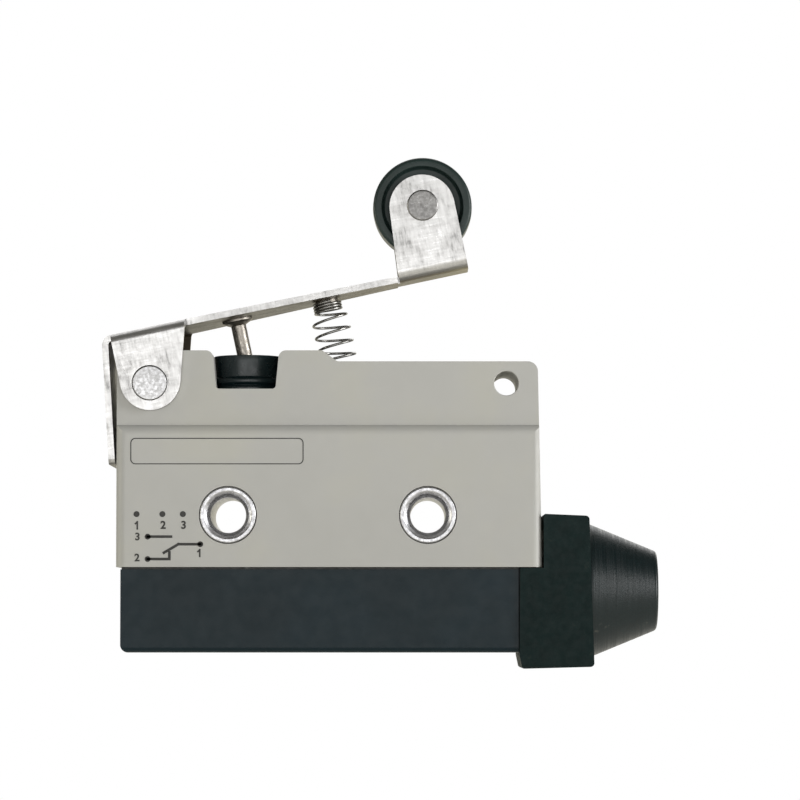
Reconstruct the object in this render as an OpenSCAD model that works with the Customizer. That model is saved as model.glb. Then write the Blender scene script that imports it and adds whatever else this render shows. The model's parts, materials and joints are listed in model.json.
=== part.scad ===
// Sealed limit switch with a hinge roller lever.
// X runs along the case to the cable, Y from the label face to the mounting face, Z up to the lever.
// The origin is midway between the two mounting holes, on the mounting face.

/* [Case] */
// Thickness of the case over its lower, thick part
case_t = 17.5; // [16.5:0.5:19]
// Thickness of the upper part, which the lever's ears straddle
upper_t = 15.6; // [15.0:0.1:15.6]
// Left wall of the case
case_left = -26.95; // [-27.2:0.05:-26.95]
// Right wall of the case at the bottom
case_right = 27.2; // [27:0.05:27.25]
// How far the right wall leans in towards the top
case_draft = 0.5; // [0:0.1:0.8]
// Underside of the case
case_bottom = -6.6; // [-6.8:0.1:-6.5]
// Height of the shoulder between the thick and the thin part
shoulder_z = 11.5; // [11:0.1:12]
// Radius of the shoulder and of the upright edges
edge_r = 1.3; // [0.8:0.1:1.5]
// Top of the raised left end and of the boss beside the seal
crown_z = 21.0; // [20.8:0.1:21.2]
// Top of the right end
top_z = 19.6; // [19.2:0.1:19.8]
// Wall of the case around the contact chamber, measured from the mounting faces
wall_t = 2.45; // [2.2:0.05:2.6]
// Ceiling of the contact chamber
chamber_z = 14.1; // [13.9:0.1:14.2]

/* [Mounting] */
// Distance between the two mounting holes
hole_pitch = 25.4; // [25.4:0.1:25.6]
// Bore of the mounting eyelets
eyelet_bore_d = 4.5; // [4.3:0.1:4.6]
// Outer diameter of the eyelet's tube
eyelet_tube_d = 5.3; // [5.2:0.1:5.5]
// Outer diameter of the eyelet's flange
eyelet_flange_d = 7.2; // [7:0.1:7.6]
// Height and distance from the middle of the lever's pivot, and of the spare pivot hole at the other end
pivot_z = 16.8; // [16.8:0.1:16.9]
// Distance of the pivot holes from the middle
pivot_x = 22.7; // [22.6:0.1:22.8]
// Diameter of the hinge pin's shank
hinge_d = 3.0; // [2.8:0.1:3.2]
// Diameter of the hinge pin's heads
hinge_head_d = 4.4; // [4.2:0.1:4.6]

/* [Lever] */
// Sheet thickness
sheet_t = 0.8; // [0.7:0.05:0.8]
// Slope of the arm at its free position, degrees
lever_slope = 12; // [11.8:0.1:12.2]
// Height of the arm's top face above the pivot, square to the arm
arm_top = 7.1; // [7.0:0.1:7.3]
// Width over the two ears
ear_width = 17.4; // [17.4:0.05:17.5]
// Radius of the ear's round end
ear_r = 3.85; // [3.7:0.05:3.9]
// Height of the centre of the ear's round end above the pivot
ear_rise = 0.35; // [0.3:0.05:0.4]
// Distance of the centre of the ear's round end from the pivot, along the arm
ear_shift = 0.15; // [0.1:0.05:0.2]
// Where the ear's front edge meets the arm
ear_reach = 6.1; // [5.8:0.05:6.5]
// Length from the pivot to the arm's tip
arm_reach = 42.9; // [42:0.1:44]
// Width of the arm beside the ears
arm_width = 15.0; // [14:0.5:15.5]
// Width over the roller fork
fork_width = 8.4; // [8.2:0.1:9]
// Roller axle: distance from the pivot along the arm
axle_x = 38.8; // [38.6:0.1:38.9]
// Roller axle: height above the pivot, square to the arm
axle_z = 15.4; // [15.2:0.1:15.6]
// Radius of the fork around the axle
fork_r = 4.2; // [4.1:0.1:4.3]
// Widening of the fork ears at their foot, towards the pivot
fork_foot = 0.6; // [0.4:0.1:0.8]
// Lean of the stop tab away from square, degrees
tab_lean = 8.6; // [8.5:0.1:9]
// Length of the stop tab below its bend
tab_length = 15.2; // [15:0.1:15.4]
// Width of the stop tab
tab_width = 15.4; // [14:0.2:15.6]

/* [Roller] */
// Roller diameter
roller_d = 12.8; // [12.4:0.1:13]
// Roller tread width
roller_w = 5.4; // [5:0.1:5.6]
// Axle diameter
axle_d = 3.0; // [2.8:0.1:3.2]
// Axle head diameter
axle_head_d = 4.0; // [3.8:0.1:4.2]

/* [Push pin, stud and springs] */
// Push pin diameter
push_d = 1.95; // [1.8:0.05:2.0]
// Distance of the push pin from the pivot, along the arm
push_x = 12.35; // [12.3:0.05:12.45]
// Height of the push pin's tip below the pivot, square to the arm
push_drop = 1.91; // [1.85:0.02:1.97]
// Distance of the spring stud from the pivot, along the arm
stud_x = 24.15; // [24:0.05:24.3]
// Spring stud diameter, inside the spring's narrow end
stud_d = 3.0; // [2.8:0.1:3.1]
// Spring stud length under the arm
stud_l = 1.25; // [1.1:0.05:1.4]
// Return spring outer diameter
spring_d = 4.95; // [4.8:0.05:5.1]
// Outer diameter of the return spring's narrow end
spring_head_d = 3.8; // [3.75:0.05:3.85]
// Return spring wire diameter
spring_wire = 0.34; // [0.3:0.02:0.4]
// Centre of the return spring's lowest coil
spring_x = 2.0; // [1.9:0.1:2.1]
// Centre of the return spring's well
well_x = 1.5; // [1.4:0.1:1.6]
// Floor of the return spring's well
well_z = 16.0; // [15.8:0.1:16.2]
// Diameter of the return spring's well
well_d = 6.6; // [6.6:0.1:6.8]

/* [Seal and plunger] */
// Middle of the notch, the seal and the plunger
seal_x = -10.5; // [-10.55:0.05:-10.45]
// Floor of the notch
notch_z = 16.1; // [16:0.1:16.2]
// Width of the notch at its floor
notch_w = 7.55; // [7.4:0.05:7.8]
// Width of the notch at the top of the seal
notch_mouth = 8.45; // [8.2:0.05:8.5]
// Diameter of the seal's bead
seal_d = 9.2; // [9:0.1:9.3]
// Top of the seal
seal_top = 20.65; // [20.5:0.05:20.7]
// Plunger diameter
plunger_d = 3.8; // [3.6:0.1:4]

/* [Contacts and terminals] */
// Height of the contact blade's middle
blade_z = 7.675; // [7.6:0.025:7.7]
// Blade thickness
blade_t = 0.25; // [0.2:0.05:0.3]
// Blade and terminal bar width
bar_w = 4.0; // [3.6:0.1:4.2]
// Terminal bar thickness
bar_t = 0.6; // [0.5:0.1:0.6]
// Blade hinge: distance from the middle
blade_hinge_x = 5.5; // [5.4:0.1:5.6]
// Position of the contacts
contact_x = -20; // [-20.2:0.1:-19.8]
// Contact rivet diameter
contact_d = 2.4; // [2.2:0.1:2.6]
// Terminal screw pitch
terminal_pitch = 14; // [13.9:0.1:14.1]
// Position of the middle terminal screw
terminal_mid = -4; // [-4.1:0.1:-3.9]
// Terminal screw thread diameter
screw_d = 3.0; // [2.8:0.1:3]
// Terminal screw head diameter
screw_head_d = 5.5; // [5.2:0.1:5.8]

/* [Cover and boot] */
// Thickness of the terminal cover
cover_t = 16.3; // [16.1:0.1:16.5]
// Underside of the terminal cover
cover_bottom = -17.45; // [-17.6:0.05:-17.2]
// Wall of the terminal cover
cover_wall = 1.25; // [1.1:0.05:1.3]
// Thickness of the gasket under the case
gasket_t = 0.3; // [0.2:0.05:0.35]
// Thickness of the boot's collar
collar_t = 17.2; // [17:0.1:17.3]
// Left end of the boot's collar
collar_left = 24.4; // [24.3:0.1:24.6]
// Height of the middle of the boot's nose
nose_z = -9.55; // [-9.6:0.05:-9.5]
// Start of the nose
nose_start = 33.3; // [33.2:0.1:33.4]
// Tip of the nose
nose_end = 42.2; // [42:0.1:42.6]
// Diameter of the nose at the collar
nose_base_d = 17.2; // [17:0.1:17.2]
// Diameter of the nose at its tip
nose_tip_d = 10.4; // [10:0.1:11]
// Cable entry diameter
cable_d = 6.0; // [5.5:0.1:6.5]

/* [Hidden] */
$fn = 48;

mid_y = -case_t / 2;
running = 0.05;
far = 60;
eyelet_seat = 0.7;
pin_hole_d = hinge_d + 2 * running;
upper_front = mid_y - upper_t / 2;
upper_back = mid_y + upper_t / 2;
chamber_half = case_t / 2 - wall_t;
chamber_end = 24.8;
boss_d = 8.6;

plunger_top = pivot_z + push_x * sin(lever_slope) - push_drop * cos(lever_slope) - 0.15;
plunger_collar_z = chamber_z - 0.2;
plunger_base_z = plunger_collar_z - 0.7;
pocket_z = 15.0;
actuator_top = 10.1;
actuator_d = 2.0;
actuator_head_d = 3.8;
rib_top = 8.75;
rib_bottom = 8.2;

bend_outer = 1.0;
bend_inner = bend_outer - sheet_t;
tab_bend = 1.3;
tab_face = 5.8;
tab_cz = arm_top - tab_bend;
tab_cx = (tab_cz * sin(tab_lean) + tab_bend - tab_face) / cos(tab_lean);
ear_left = ear_shift - ear_r;
taper_start = 8;
taper_end = 33;
fork_x = arm_reach - fork_r;
fork_z = axle_z - 0.2;
fork_left = fork_x - fork_r - fork_foot;

rivet_d = 1.2;
blade_bead_d = 1.0;

bar_bottom = -8.2;
washer_t = 0.8;
screw_l = 3.9;
block_top = -5.0;
nc_x = -23.9;
no_x = -8.1;
com_x = 6.6;
no_level = 4.5;
nc_level = 9.2;
screw_seat = bar_bottom - bar_t - washer_t;

block_end = chamber_end - 0.1;
block_half = chamber_half - 0.05;

tray_top = case_bottom - gasket_t;
neck_t = 14.3;
neck_end = 31.9;
neck_top = -1.8;

// Points of an arc about [cx, cz], from angle a0 to a1
function arc(cx, cz, r, a0, a1, n = 6) =
    [for (i = [0:n]) [cx + r * cos(a0 + (a1 - a0) * i / n), cz + r * sin(a0 + (a1 - a0) * i / n)]];

// Where the tangent from point p touches a circle of radius r about the origin, on its lower right
function tangent_angle(p, r) = atan2(p[1], p[0]) - acos(r / norm(p));

// A flat outline in X and Z, given thickness along Y
module slab(y0, y1) {
    translate([0, y1, 0]) rotate([90, 0, 0]) linear_extrude(y1 - y0) children();
}

// A flat outline in Y and Z, given length along X
module bar_along_x(x0, x1) {
    translate([x0, 0, 0]) rotate([90, 0, 90]) linear_extrude(x1 - x0) children();
}

// A cylinder along Y
module rod_y(x, z, d, y0, y1) {
    translate([x, y1, z]) rotate([90, 0, 0]) cylinder(d = d, h = y1 - y0);
}

// A box between two corners
module box(low, high) {
    translate(low) cube(high - low);
}

// Puts a shape drawn about the pivot, arm level, at the lever's free position
module on_lever() {
    translate([-pivot_x, mid_y, pivot_z]) rotate([0, -lever_slope, 0]) children();
}

// ---- case ----

// Outline of the case seen from the label side
module case_outline() {
    notch_l = seal_x - notch_mouth / 2;
    notch_r = seal_x + notch_mouth / 2;
    corner = 1.3;
    left_corner = 2.5;
    mouth_r = 1.0;
    right_top = case_right - case_draft;
    polygon(concat(
        [[case_left, case_bottom]],
        arc(case_left + left_corner, crown_z - left_corner, left_corner, 180, 90),
        [[notch_l - 1.2, crown_z]],
        arc(notch_l - mouth_r, crown_z - mouth_r, mouth_r, 80, 10),
        [[seal_x - notch_w / 2, notch_z + 0.4], [seal_x - notch_w / 2 + 0.4, notch_z]],
        [[seal_x + notch_w / 2 - 0.4, notch_z], [seal_x + notch_w / 2, notch_z + 0.4]],
        arc(notch_r + mouth_r, crown_z - mouth_r, mouth_r, 170, 100),
        [[notch_r + 1.3, crown_z], [-1.1, crown_z]],
        arc(-1.1, crown_z - 1.2, 1.2, 80, 35, 4),
        [[1.0, top_z + 0.05], [1.4, top_z]],
        arc(right_top - corner, top_z - corner, corner, 90, 0),
        [[case_right, case_bottom]]));
}

// Thick lower part with a rounded shoulder, and thin upper part, seen from the end
module case_section() {
    polygon(concat(
        [[-case_t, case_bottom]],
        arc(-case_t + edge_r, shoulder_z - edge_r, edge_r, 180, 100, 5),
        [[upper_front, shoulder_z + 0.05], [upper_front, far], [upper_back, far]],
        [[upper_back, shoulder_z + 0.05]],
        arc(-edge_r, shoulder_z - edge_r, edge_r, 80, 0, 5),
        [[0, case_bottom]]));
}

// Rounded upright edges, seen from above
module case_plan() {
    polygon(concat(
        arc(case_left + edge_r, -case_t + edge_r, edge_r, 180, 270, 5),
        arc(case_right - edge_r, -case_t + edge_r, edge_r, 270, 360, 5),
        arc(case_right - edge_r, -edge_r, edge_r, 0, 90, 5),
        arc(case_left + edge_r, -edge_r, edge_r, 90, 180, 5)));
}

module case_shell() {
    difference() {
        intersection() {
            slab(-case_t, 0) case_outline();
            bar_along_x(case_left - 1, case_right + 1) case_section();
            translate([0, 0, case_bottom - 1]) linear_extrude(far) case_plan();
        }
        difference() {
            box([-chamber_end, mid_y - chamber_half, case_bottom - 1],
                [chamber_end, mid_y + chamber_half, chamber_z]);
            for (side = [-1, 1]) rod_y(side * hole_pitch / 2, 0, boss_d, -case_t, 0);
            box([seal_x - 3.5, -case_t, rib_bottom], [seal_x + 3.5, 0, rib_top]);
        }
        for (side = [-1, 1]) {
            rod_y(side * hole_pitch / 2, 0, eyelet_tube_d, -case_t - 1, 1);
            rod_y(side * hole_pitch / 2, 0, eyelet_flange_d, -case_t - 1, -case_t + eyelet_seat);
            rod_y(side * hole_pitch / 2, 0, eyelet_flange_d, -eyelet_seat, 1);
            rod_y(side * pivot_x, pivot_z, pin_hole_d, -case_t - 1, 1);
        }
        translate([seal_x, mid_y, notch_z]) cylinder(d = seal_d + 0.2, h = far);
        translate([seal_x, mid_y, 10]) cylinder(d = plunger_d + 2 * running, h = far);
        translate([seal_x, mid_y, rib_bottom - 1]) cylinder(d = actuator_d + 2 * running, h = 3);
        translate([well_x, mid_y, well_z]) cylinder(d = well_d, h = far);
    }
}

module housing_front() {
    color([0.69, 0.69, 0.66])
        intersection() {
            case_shell();
            box([-far, -far, -far], [far, mid_y, far]);
        }
}

module housing_back() {
    color([0.69, 0.69, 0.66])
        intersection() {
            case_shell();
            box([-far, mid_y, -far], [far, far, far]);
        }
}

// Half of an eyelet's section: radius to the right, depth from the face upwards
module eyelet_section() {
    bore = eyelet_bore_d / 2;
    polygon([[bore, 1.6], [eyelet_tube_d / 2 + 0.15, 0], [eyelet_flange_d / 2 - 0.15, 0],
        [eyelet_flange_d / 2, 0.15], [eyelet_flange_d / 2, eyelet_seat], [eyelet_tube_d / 2, eyelet_seat],
        [eyelet_tube_d / 2, case_t / 2], [bore, case_t / 2]]);
}

module eyelet(x) {
    color([0.78, 0.78, 0.76])
        translate([x, mid_y, 0])
            union() {
                translate([0, -case_t / 2, 0]) rotate([-90, 0, 0]) rotate_extrude() eyelet_section();
                translate([0, case_t / 2, 0]) rotate([90, 0, 0]) rotate_extrude() eyelet_section();
            }
}

module eyelet_left() { eyelet(-hole_pitch / 2); }

module eyelet_right() { eyelet(hole_pitch / 2); }

// ---- lever ----

module hinge_pin() {
    head_t = 0.8;
    edge = ear_width / 2;
    color([0.72, 0.72, 0.7])
        union() {
            rod_y(-pivot_x, pivot_z, hinge_d, mid_y - edge + 0.1, mid_y + edge - 0.1);
            rod_y(-pivot_x, pivot_z, hinge_head_d, mid_y - edge, mid_y - edge + head_t);
            rod_y(-pivot_x, pivot_z, hinge_head_d, mid_y + edge - head_t, mid_y + edge);
        }
}

// Side view of an ear, arm level, pivot at the origin
module ear_outline() {
    corner = [ear_reach, arm_top];
    middle = [ear_shift, ear_rise];
    a = tangent_angle(corner - middle, ear_r);
    translate(middle) circle(r = ear_r);
    polygon([[ear_left, ear_rise], middle + ear_r * [cos(a), sin(a)], corner, [ear_left, arm_top]]);
}

// Section of a channel with legs downwards and rounded corners, top face at z = 0
module channel_section(width, depth) {
    half = width / 2;
    difference() {
        union() {
            translate([-half + bend_outer, -depth]) square([width - 2 * bend_outer, depth]);
            translate([-half, -depth]) square([width, depth - bend_outer]);
            for (side = [-1, 1]) translate([side * (half - bend_outer), -bend_outer]) circle(bend_outer);
        }
        translate([-half + sheet_t + bend_inner, -depth - 1])
            square([width - 2 * sheet_t - 2 * bend_inner, depth + 1 - sheet_t]);
        translate([-half + sheet_t, -depth - 1])
            square([width - 2 * sheet_t, depth + 1 - sheet_t - bend_inner]);
        for (side = [-1, 1])
            translate([side * (half - sheet_t - bend_inner), -sheet_t - bend_inner]) circle(bend_inner);
    }
}

module ears() {
    intersection() {
        bar_along_x(-10, 10) translate([0, arm_top]) channel_section(ear_width, 12);
        slab(-far, far) ear_outline();
    }
}

module fork() {
    intersection() {
        bar_along_x(fork_left, arm_reach)
            translate([0, arm_top - sheet_t]) mirror([0, 1]) channel_section(fork_width, 16);
        slab(-far, far) {
            translate([fork_x, fork_z]) circle(fork_r);
            polygon([[fork_left, arm_top - sheet_t], [arm_reach, arm_top - sheet_t], [arm_reach, fork_z],
                [fork_x - fork_r, fork_z], [fork_left, arm_top]]);
        }
    }
}

// The flat arm between the ears and the fork, seen from above
module arm_plan() {
    half = arm_width / 2;
    tip = fork_width / 2 - bend_outer;
    polygon([[tab_cx, -tab_width / 2], [ear_left, -half], [taper_start, -half],
        [taper_end, -fork_width / 2], [fork_left, -fork_width / 2], [fork_left, -tip],
        [arm_reach, -tip], [arm_reach, tip], [fork_left, tip],
        [fork_left, fork_width / 2], [taper_end, fork_width / 2], [taper_start, half],
        [ear_left, half], [tab_cx, tab_width / 2]]);
}

// Side view of the stop tab and its bend
module tab_outline() {
    translate([tab_cx, tab_cz]) {
        rotate(-tab_lean) translate([-tab_bend, -tab_length]) square([sheet_t, tab_length]);
        intersection() {
            difference() {
                circle(tab_bend);
                circle(tab_bend - sheet_t);
            }
            polygon([[0, 0], [0, 3], [-3, 3], [-3 * cos(tab_lean), 3 * sin(tab_lean)]]);
        }
    }
}

module lever() {
    head_hole = hinge_head_d + 0.08;
    color([0.8, 0.8, 0.78])
        on_lever()
            difference() {
                union() {
                    translate([0, 0, arm_top - sheet_t]) linear_extrude(sheet_t) arm_plan();
                    slab(-tab_width / 2, tab_width / 2) tab_outline();
                    ears();
                    fork();
                }
                rod_y(0, 0, head_hole, -far, far);
                rod_y(axle_x, axle_z, axle_d, -far, far);
                translate([push_x, 0, 0]) cylinder(d = push_d, h = far);
                translate([stud_x, 0, 0]) cylinder(d = push_d, h = far);
            }
}

module push_pin() {
    flange_t = 0.55;
    flange_r = 1.97;
    peen_r = 1.6;
    under = arm_top - sheet_t;
    color([0.75, 0.75, 0.72])
        on_lever() translate([push_x, 0, 0])
            rotate_extrude()
                polygon(concat(
                    [[0, -push_drop]], arc(push_d / 2 - 0.4, -push_drop + 0.4, 0.4, -90, 0),
                    [[push_d / 2, under - flange_t - 0.3], [flange_r - 0.22, under - flange_t],
                    [flange_r, under - 0.3], [flange_r, under], [push_d / 2, under], [push_d / 2, arm_top]],
                    [[peen_r, arm_top], [peen_r - 0.3, arm_top + 0.25], [0, arm_top + 0.35]]));
}

module spring_stud() {
    peen_r = 1.6;
    under = arm_top - sheet_t;
    color([0.75, 0.75, 0.72])
        on_lever() translate([stud_x, 0, 0])
            rotate_extrude()
                polygon([[0, under - stud_l], [stud_d / 2 - 0.25, under - stud_l],
                    [stud_d / 2, under - stud_l + 0.25], [stud_d / 2, under], [push_d / 2, under],
                    [push_d / 2, arm_top], [peen_r, arm_top], [peen_r - 0.3, arm_top + 0.25],
                    [0, arm_top + 0.35]]);
}

// ---- roller ----

module roller_axle() {
    half = fork_width / 2;
    head_t = 0.4;
    color([0.78, 0.78, 0.76])
        on_lever()
            union() {
                rod_y(axle_x, axle_z, axle_d, -half, half);
                rod_y(axle_x, axle_z, axle_head_d, -half - head_t, -half);
                rod_y(axle_x, axle_z, axle_head_d, half, half + head_t);
            }
}

module roller() {
    r = roller_d / 2;
    w = roller_w / 2;
    hub = fork_width / 2 - sheet_t - 0.15;
    hub_r = 2.7;
    bore = axle_d / 2 + running;
    rim = 1.15;
    recess = 0.7;
    color([0.13, 0.14, 0.15])
        on_lever() translate([axle_x, 0, axle_z]) rotate([90, 0, 0])
            rotate_extrude()
                polygon([[bore, -hub], [hub_r, -hub], [hub_r, -w + recess], [r - rim - 0.2, -w + recess],
                    [r - rim, -w], [r - 0.35, -w], [r, -w + 0.35], [r, w - 0.35], [r - 0.35, w],
                    [r - rim, w], [r - rim - 0.2, w - recess], [hub_r, w - recess], [hub_r, hub], [bore, hub]]);
}

// ---- springs ----

// Unit vectors across a coil whose plane leans by a degrees in the X-Z plane
function coil_point(c, r, lean, turn) =
    [c[0] + r * cos(turn) * cos(lean), c[1] + r * sin(turn), c[2] + r * cos(turn) * sin(lean)];

// Height along a coil spring after t turns: a closed foot, open turns, then a closed head
function coil_height(t, foot, open, head) =
    t < foot[0] ? foot[1] * t / foot[0]
    : t < foot[0] + open[0] ? foot[1] + open[1] * (t - foot[0]) / open[0]
    : foot[1] + open[1] + head[1] * (t - foot[0] - open[0]) / head[0];

// A round wire of sides corners swept along the points in path
module wire(path, d, sides = 6) {
    n = len(path);
    ring = [for (i = [0:n - 1])
        let (t = path[min(i + 1, n - 1)] - path[max(i - 1, 0)],
            side = cross(t, [0, 0, 1]) / norm(cross(t, [0, 0, 1])),
            up = cross(side, t) / norm(t))
        for (k = [0:sides - 1])
            path[i] + d / 2 * (cos(360 * k / sides) * side + sin(360 * k / sides) * up)];
    skin = [for (i = [0:n - 2], k = [0:sides - 1])
        let (a = i * sides + k, b = i * sides + (k + 1) % sides)
        [a, b, b + sides, a + sides]];
    ends = [[for (k = [sides - 1:-1:0]) k], [for (k = [0:sides - 1]) (n - 1) * sides + k]];
    polyhedron(points = ring, faces = concat(ends, skin), convexity = 10);
}

module return_spring() {
    steps = 20;
    phase = 122;
    wide = (spring_d - spring_wire) / 2;
    narrow = (spring_head_d - spring_wire) / 2;
    seat = arm_top - sheet_t - spring_wire / 2 - 0.08;
    foot = [spring_x, mid_y, well_z + spring_wire / 2 + 0.05];
    head = [-pivot_x + stud_x * cos(lever_slope) - seat * sin(lever_slope), mid_y,
        pivot_z + stud_x * sin(lever_slope) + seat * cos(lever_slope)];
    reach = norm(head - foot);
    // Each is [turns, height]
    foot_end = [1.2, 0.5];
    head_end = [3.4, 1.25];
    open = [5.85, reach - foot_end[1] - head_end[1]];
    turns = foot_end[0] + open[0] + head_end[0];
    path = [for (i = [0:round(turns * steps)])
        let (t = i / steps, h = coil_height(t, foot_end, open, head_end) / reach,
            closing = min(1, max(0, (t - turns + head_end[0] + 0.5) / 0.6)),
            r = wide + (narrow - wide) * closing,
            lean = lever_slope * (1 - (1 - h) * (1 - h)))
        coil_point(foot + (head - foot) * h, r, lean, 360 * t + phase)];
    color([0.45, 0.45, 0.43]) wire(path, spring_wire);
}

module overtravel_spring() {
    turns = 5;
    steps = 16;
    wire_d = 0.28;
    mean_r = 1.0;
    foot = [seal_x, mid_y, actuator_top + wire_d / 2 + 0.03];
    head = [seal_x, mid_y, pocket_z - wire_d / 2 - 0.05];
    reach = head[2] - foot[2];
    path = [for (i = [0:turns * steps])
        let (h = coil_height(i / steps, [1, 0.3], [turns - 2, reach - 0.6], [1, 0.3]) / reach)
        coil_point(foot + (head - foot) * h, mean_r, 0, 360 * i / steps)];
    color([0.5, 0.5, 0.48]) wire(path, wire_d);
}

// ---- seal and plunger ----

module plunger_seal() {
    r = seal_d / 2;
    hole = 1.45;
    body = r - 0.2;
    skirt_r = 3.4;
    crown_r = 2.6;
    edge = 0.15;
    color([0.07, 0.08, 0.09])
        translate([seal_x, mid_y, 0])
            rotate_extrude()
                polygon(concat(
                    [[skirt_r, notch_z + 0.02], [r - 0.3, notch_z + 0.02], [r, notch_z + 0.3]],
                    arc(r - 0.35, notch_z + 1.05, 0.35, 0, 90),
                    [[body - 0.25, notch_z + 1.5], [body, notch_z + 1.8]],
                    arc(body - edge, seal_top - edge, edge, 0, 90),
                    [[hole + 0.5, seal_top], [hole, seal_top - 0.3], [hole, seal_top - 1.2],
                    [crown_r, seal_top - 1.2], [skirt_r, seal_top - 2.0]]));
}

module plunger() {
    r = plunger_d / 2;
    pocket_r = 1.3;
    collar_r = 2.7;
    color([0.2, 0.2, 0.22])
        translate([seal_x, mid_y, 0])
            rotate_extrude()
                polygon([[0, pocket_z], [pocket_r, pocket_z], [pocket_r, plunger_base_z],
                    [collar_r, plunger_base_z], [collar_r, plunger_collar_z], [r, plunger_collar_z], [r, plunger_top - 0.3],
                    [r - 0.3, plunger_top], [0, plunger_top]]);
}

module actuator_pin() {
    tip = blade_z + blade_t / 2 + 0.08;
    stem = actuator_d / 2;
    head = actuator_head_d / 2;
    under = actuator_top - 0.6;
    color([0.85, 0.83, 0.75])
        translate([seal_x, mid_y, 0])
            rotate_extrude()
                polygon([[0, tip], [stem - 0.2, tip], [stem, tip + 0.2], [stem, under],
                    [head, under], [head, actuator_top], [0.7, actuator_top],
                    [0.7, actuator_top + 0.6], [0.5, actuator_top + 0.9], [0, actuator_top + 0.9]]);
}

// ---- contacts ----

module contact_blade() {
    tip_x = contact_x - 1.7;
    color([0.85, 0.6, 0.3])
        difference() {
            union() {
                box([tip_x, mid_y - bar_w / 2, blade_z - blade_t / 2],
                    [blade_hinge_x - 0.3, mid_y + bar_w / 2, blade_z + blade_t / 2]);
                rod_y(blade_hinge_x, blade_z, blade_bead_d, mid_y - bar_w / 2, mid_y + bar_w / 2);
            }
            translate([contact_x, mid_y, 0]) cylinder(d = rivet_d, h = far);
        }
}

module moving_contacts() {
    face = 0.8;
    half = blade_t / 2;
    color([0.85, 0.85, 0.83])
        translate([contact_x, mid_y, blade_z])
            rotate_extrude()
                polygon([[0, -half - face], [contact_d / 2 - 0.2, -half - face],
                    [contact_d / 2, -half - face + 0.2], [contact_d / 2, -half], [rivet_d / 2, -half],
                    [rivet_d / 2, half], [contact_d / 2, half], [contact_d / 2, half + face - 0.2],
                    [contact_d / 2 - 0.2, half + face], [0, half + face]]);
}

module snap_tongue() {
    bow_r = 7.8;
    bow_t = 0.15;
    bow = [1.2, 12];
    tongue_half = 0.8;
    color([0.8, 0.55, 0.28])
        slab(mid_y - tongue_half, mid_y + tongue_half)
            intersection() {
                translate(bow)
                    difference() {
                        circle(bow_r, $fn = 96);
                        circle(bow_r - bow_t, $fn = 96);
                    }
                translate([-5.6, 0]) square([11.7, blade_z - blade_t / 2]);
            }
}

module fixed_contact(z, up) {
    face = 0.58;
    color([0.85, 0.85, 0.83])
        translate([contact_x, mid_y, z]) mirror([0, 0, up ? 0 : 1])
            rotate_extrude()
                polygon([[0, -bar_t], [rivet_d / 2, -bar_t], [rivet_d / 2, 0], [contact_d / 2, 0],
                    [contact_d / 2, face - 0.18], [contact_d / 2 - 0.18, face], [0, face]]);
}

module fixed_contact_no() { fixed_contact(no_level + bar_t, true); }

module fixed_contact_nc() { fixed_contact(nc_level, false); }

// ---- terminals ----

// The upright leg and the flat screw tab that every terminal bar has
module terminal_leg(x, top, tab_from, tab_to, screw_x) {
    difference() {
        union() {
            box([x, mid_y - bar_w / 2, bar_bottom], [x + bar_t, mid_y + bar_w / 2, top]);
            box([tab_from, mid_y - 3.2, bar_bottom - bar_t], [tab_to, mid_y + 3.2, bar_bottom]);
        }
        translate([screw_x, mid_y, -far]) cylinder(d = screw_d + 0.2, h = far);
    }
}

module terminal_com() {
    screw_x = terminal_mid + terminal_pitch;
    cheek = 1.0;
    gape = 0.38;
    color([0.8, 0.65, 0.3])
        difference() {
            union() {
                terminal_leg(com_x, blade_z + 1.6, com_x, screw_x + 3.6, screw_x);
                box([blade_hinge_x - 0.8, mid_y - bar_w / 2, blade_z - cheek],
                    [com_x, mid_y + bar_w / 2, blade_z + cheek]);
            }
            rod_y(blade_hinge_x, blade_z, blade_bead_d + 0.12, -far, far);
            box([blade_hinge_x - 2, -far, blade_z - gape], [blade_hinge_x, far, blade_z + gape]);
        }
}

module terminal_no() {
    color([0.8, 0.65, 0.3])
        difference() {
            union() {
                terminal_leg(no_x, no_level + bar_t, no_x, terminal_mid + 3.9, terminal_mid);
                box([contact_x - 1.5, mid_y - bar_w / 2, no_level],
                    [no_x + bar_t, mid_y + bar_w / 2, no_level + bar_t]);
            }
            translate([contact_x, mid_y, 0]) cylinder(d = rivet_d, h = far);
        }
}

module terminal_nc() {
    screw_x = terminal_mid - terminal_pitch;
    color([0.8, 0.65, 0.3])
        difference() {
            union() {
                terminal_leg(nc_x, nc_level + bar_t, nc_x, screw_x + 3.9, screw_x);
                box([nc_x, mid_y - bar_w / 2, nc_level],
                    [contact_x + 1.6, mid_y + bar_w / 2, nc_level + bar_t]);
            }
            translate([contact_x, mid_y, 0]) cylinder(d = rivet_d, h = far);
        }
}

// Places a shape at each terminal screw
module at_screws() {
    for (i = [-1:1]) translate([terminal_mid + i * terminal_pitch, mid_y, 0]) children();
}

module terminal_screws() {
    head_h = 1.9;
    slot_half = 0.4;
    slot_depth = 0.8;
    color([0.75, 0.75, 0.73])
        at_screws()
            difference() {
                union() {
                    translate([0, 0, screw_seat]) cylinder(d = screw_d - 0.1, h = screw_l);
                    translate([0, 0, screw_seat - head_h]) cylinder(d = screw_head_d, h = head_h);
                }
                box([-far, -slot_half, screw_seat - head_h - 1],
                    [far, slot_half, screw_seat - head_h + slot_depth]);
            }
}

module terminal_washers() {
    half = 3.1;
    color([0.8, 0.78, 0.7])
        at_screws()
            difference() {
                box([-half, -half, screw_seat], [half, half, screw_seat + washer_t]);
                translate([0, 0, -far]) cylinder(d = screw_d + 0.2, h = far);
            }
}

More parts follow.
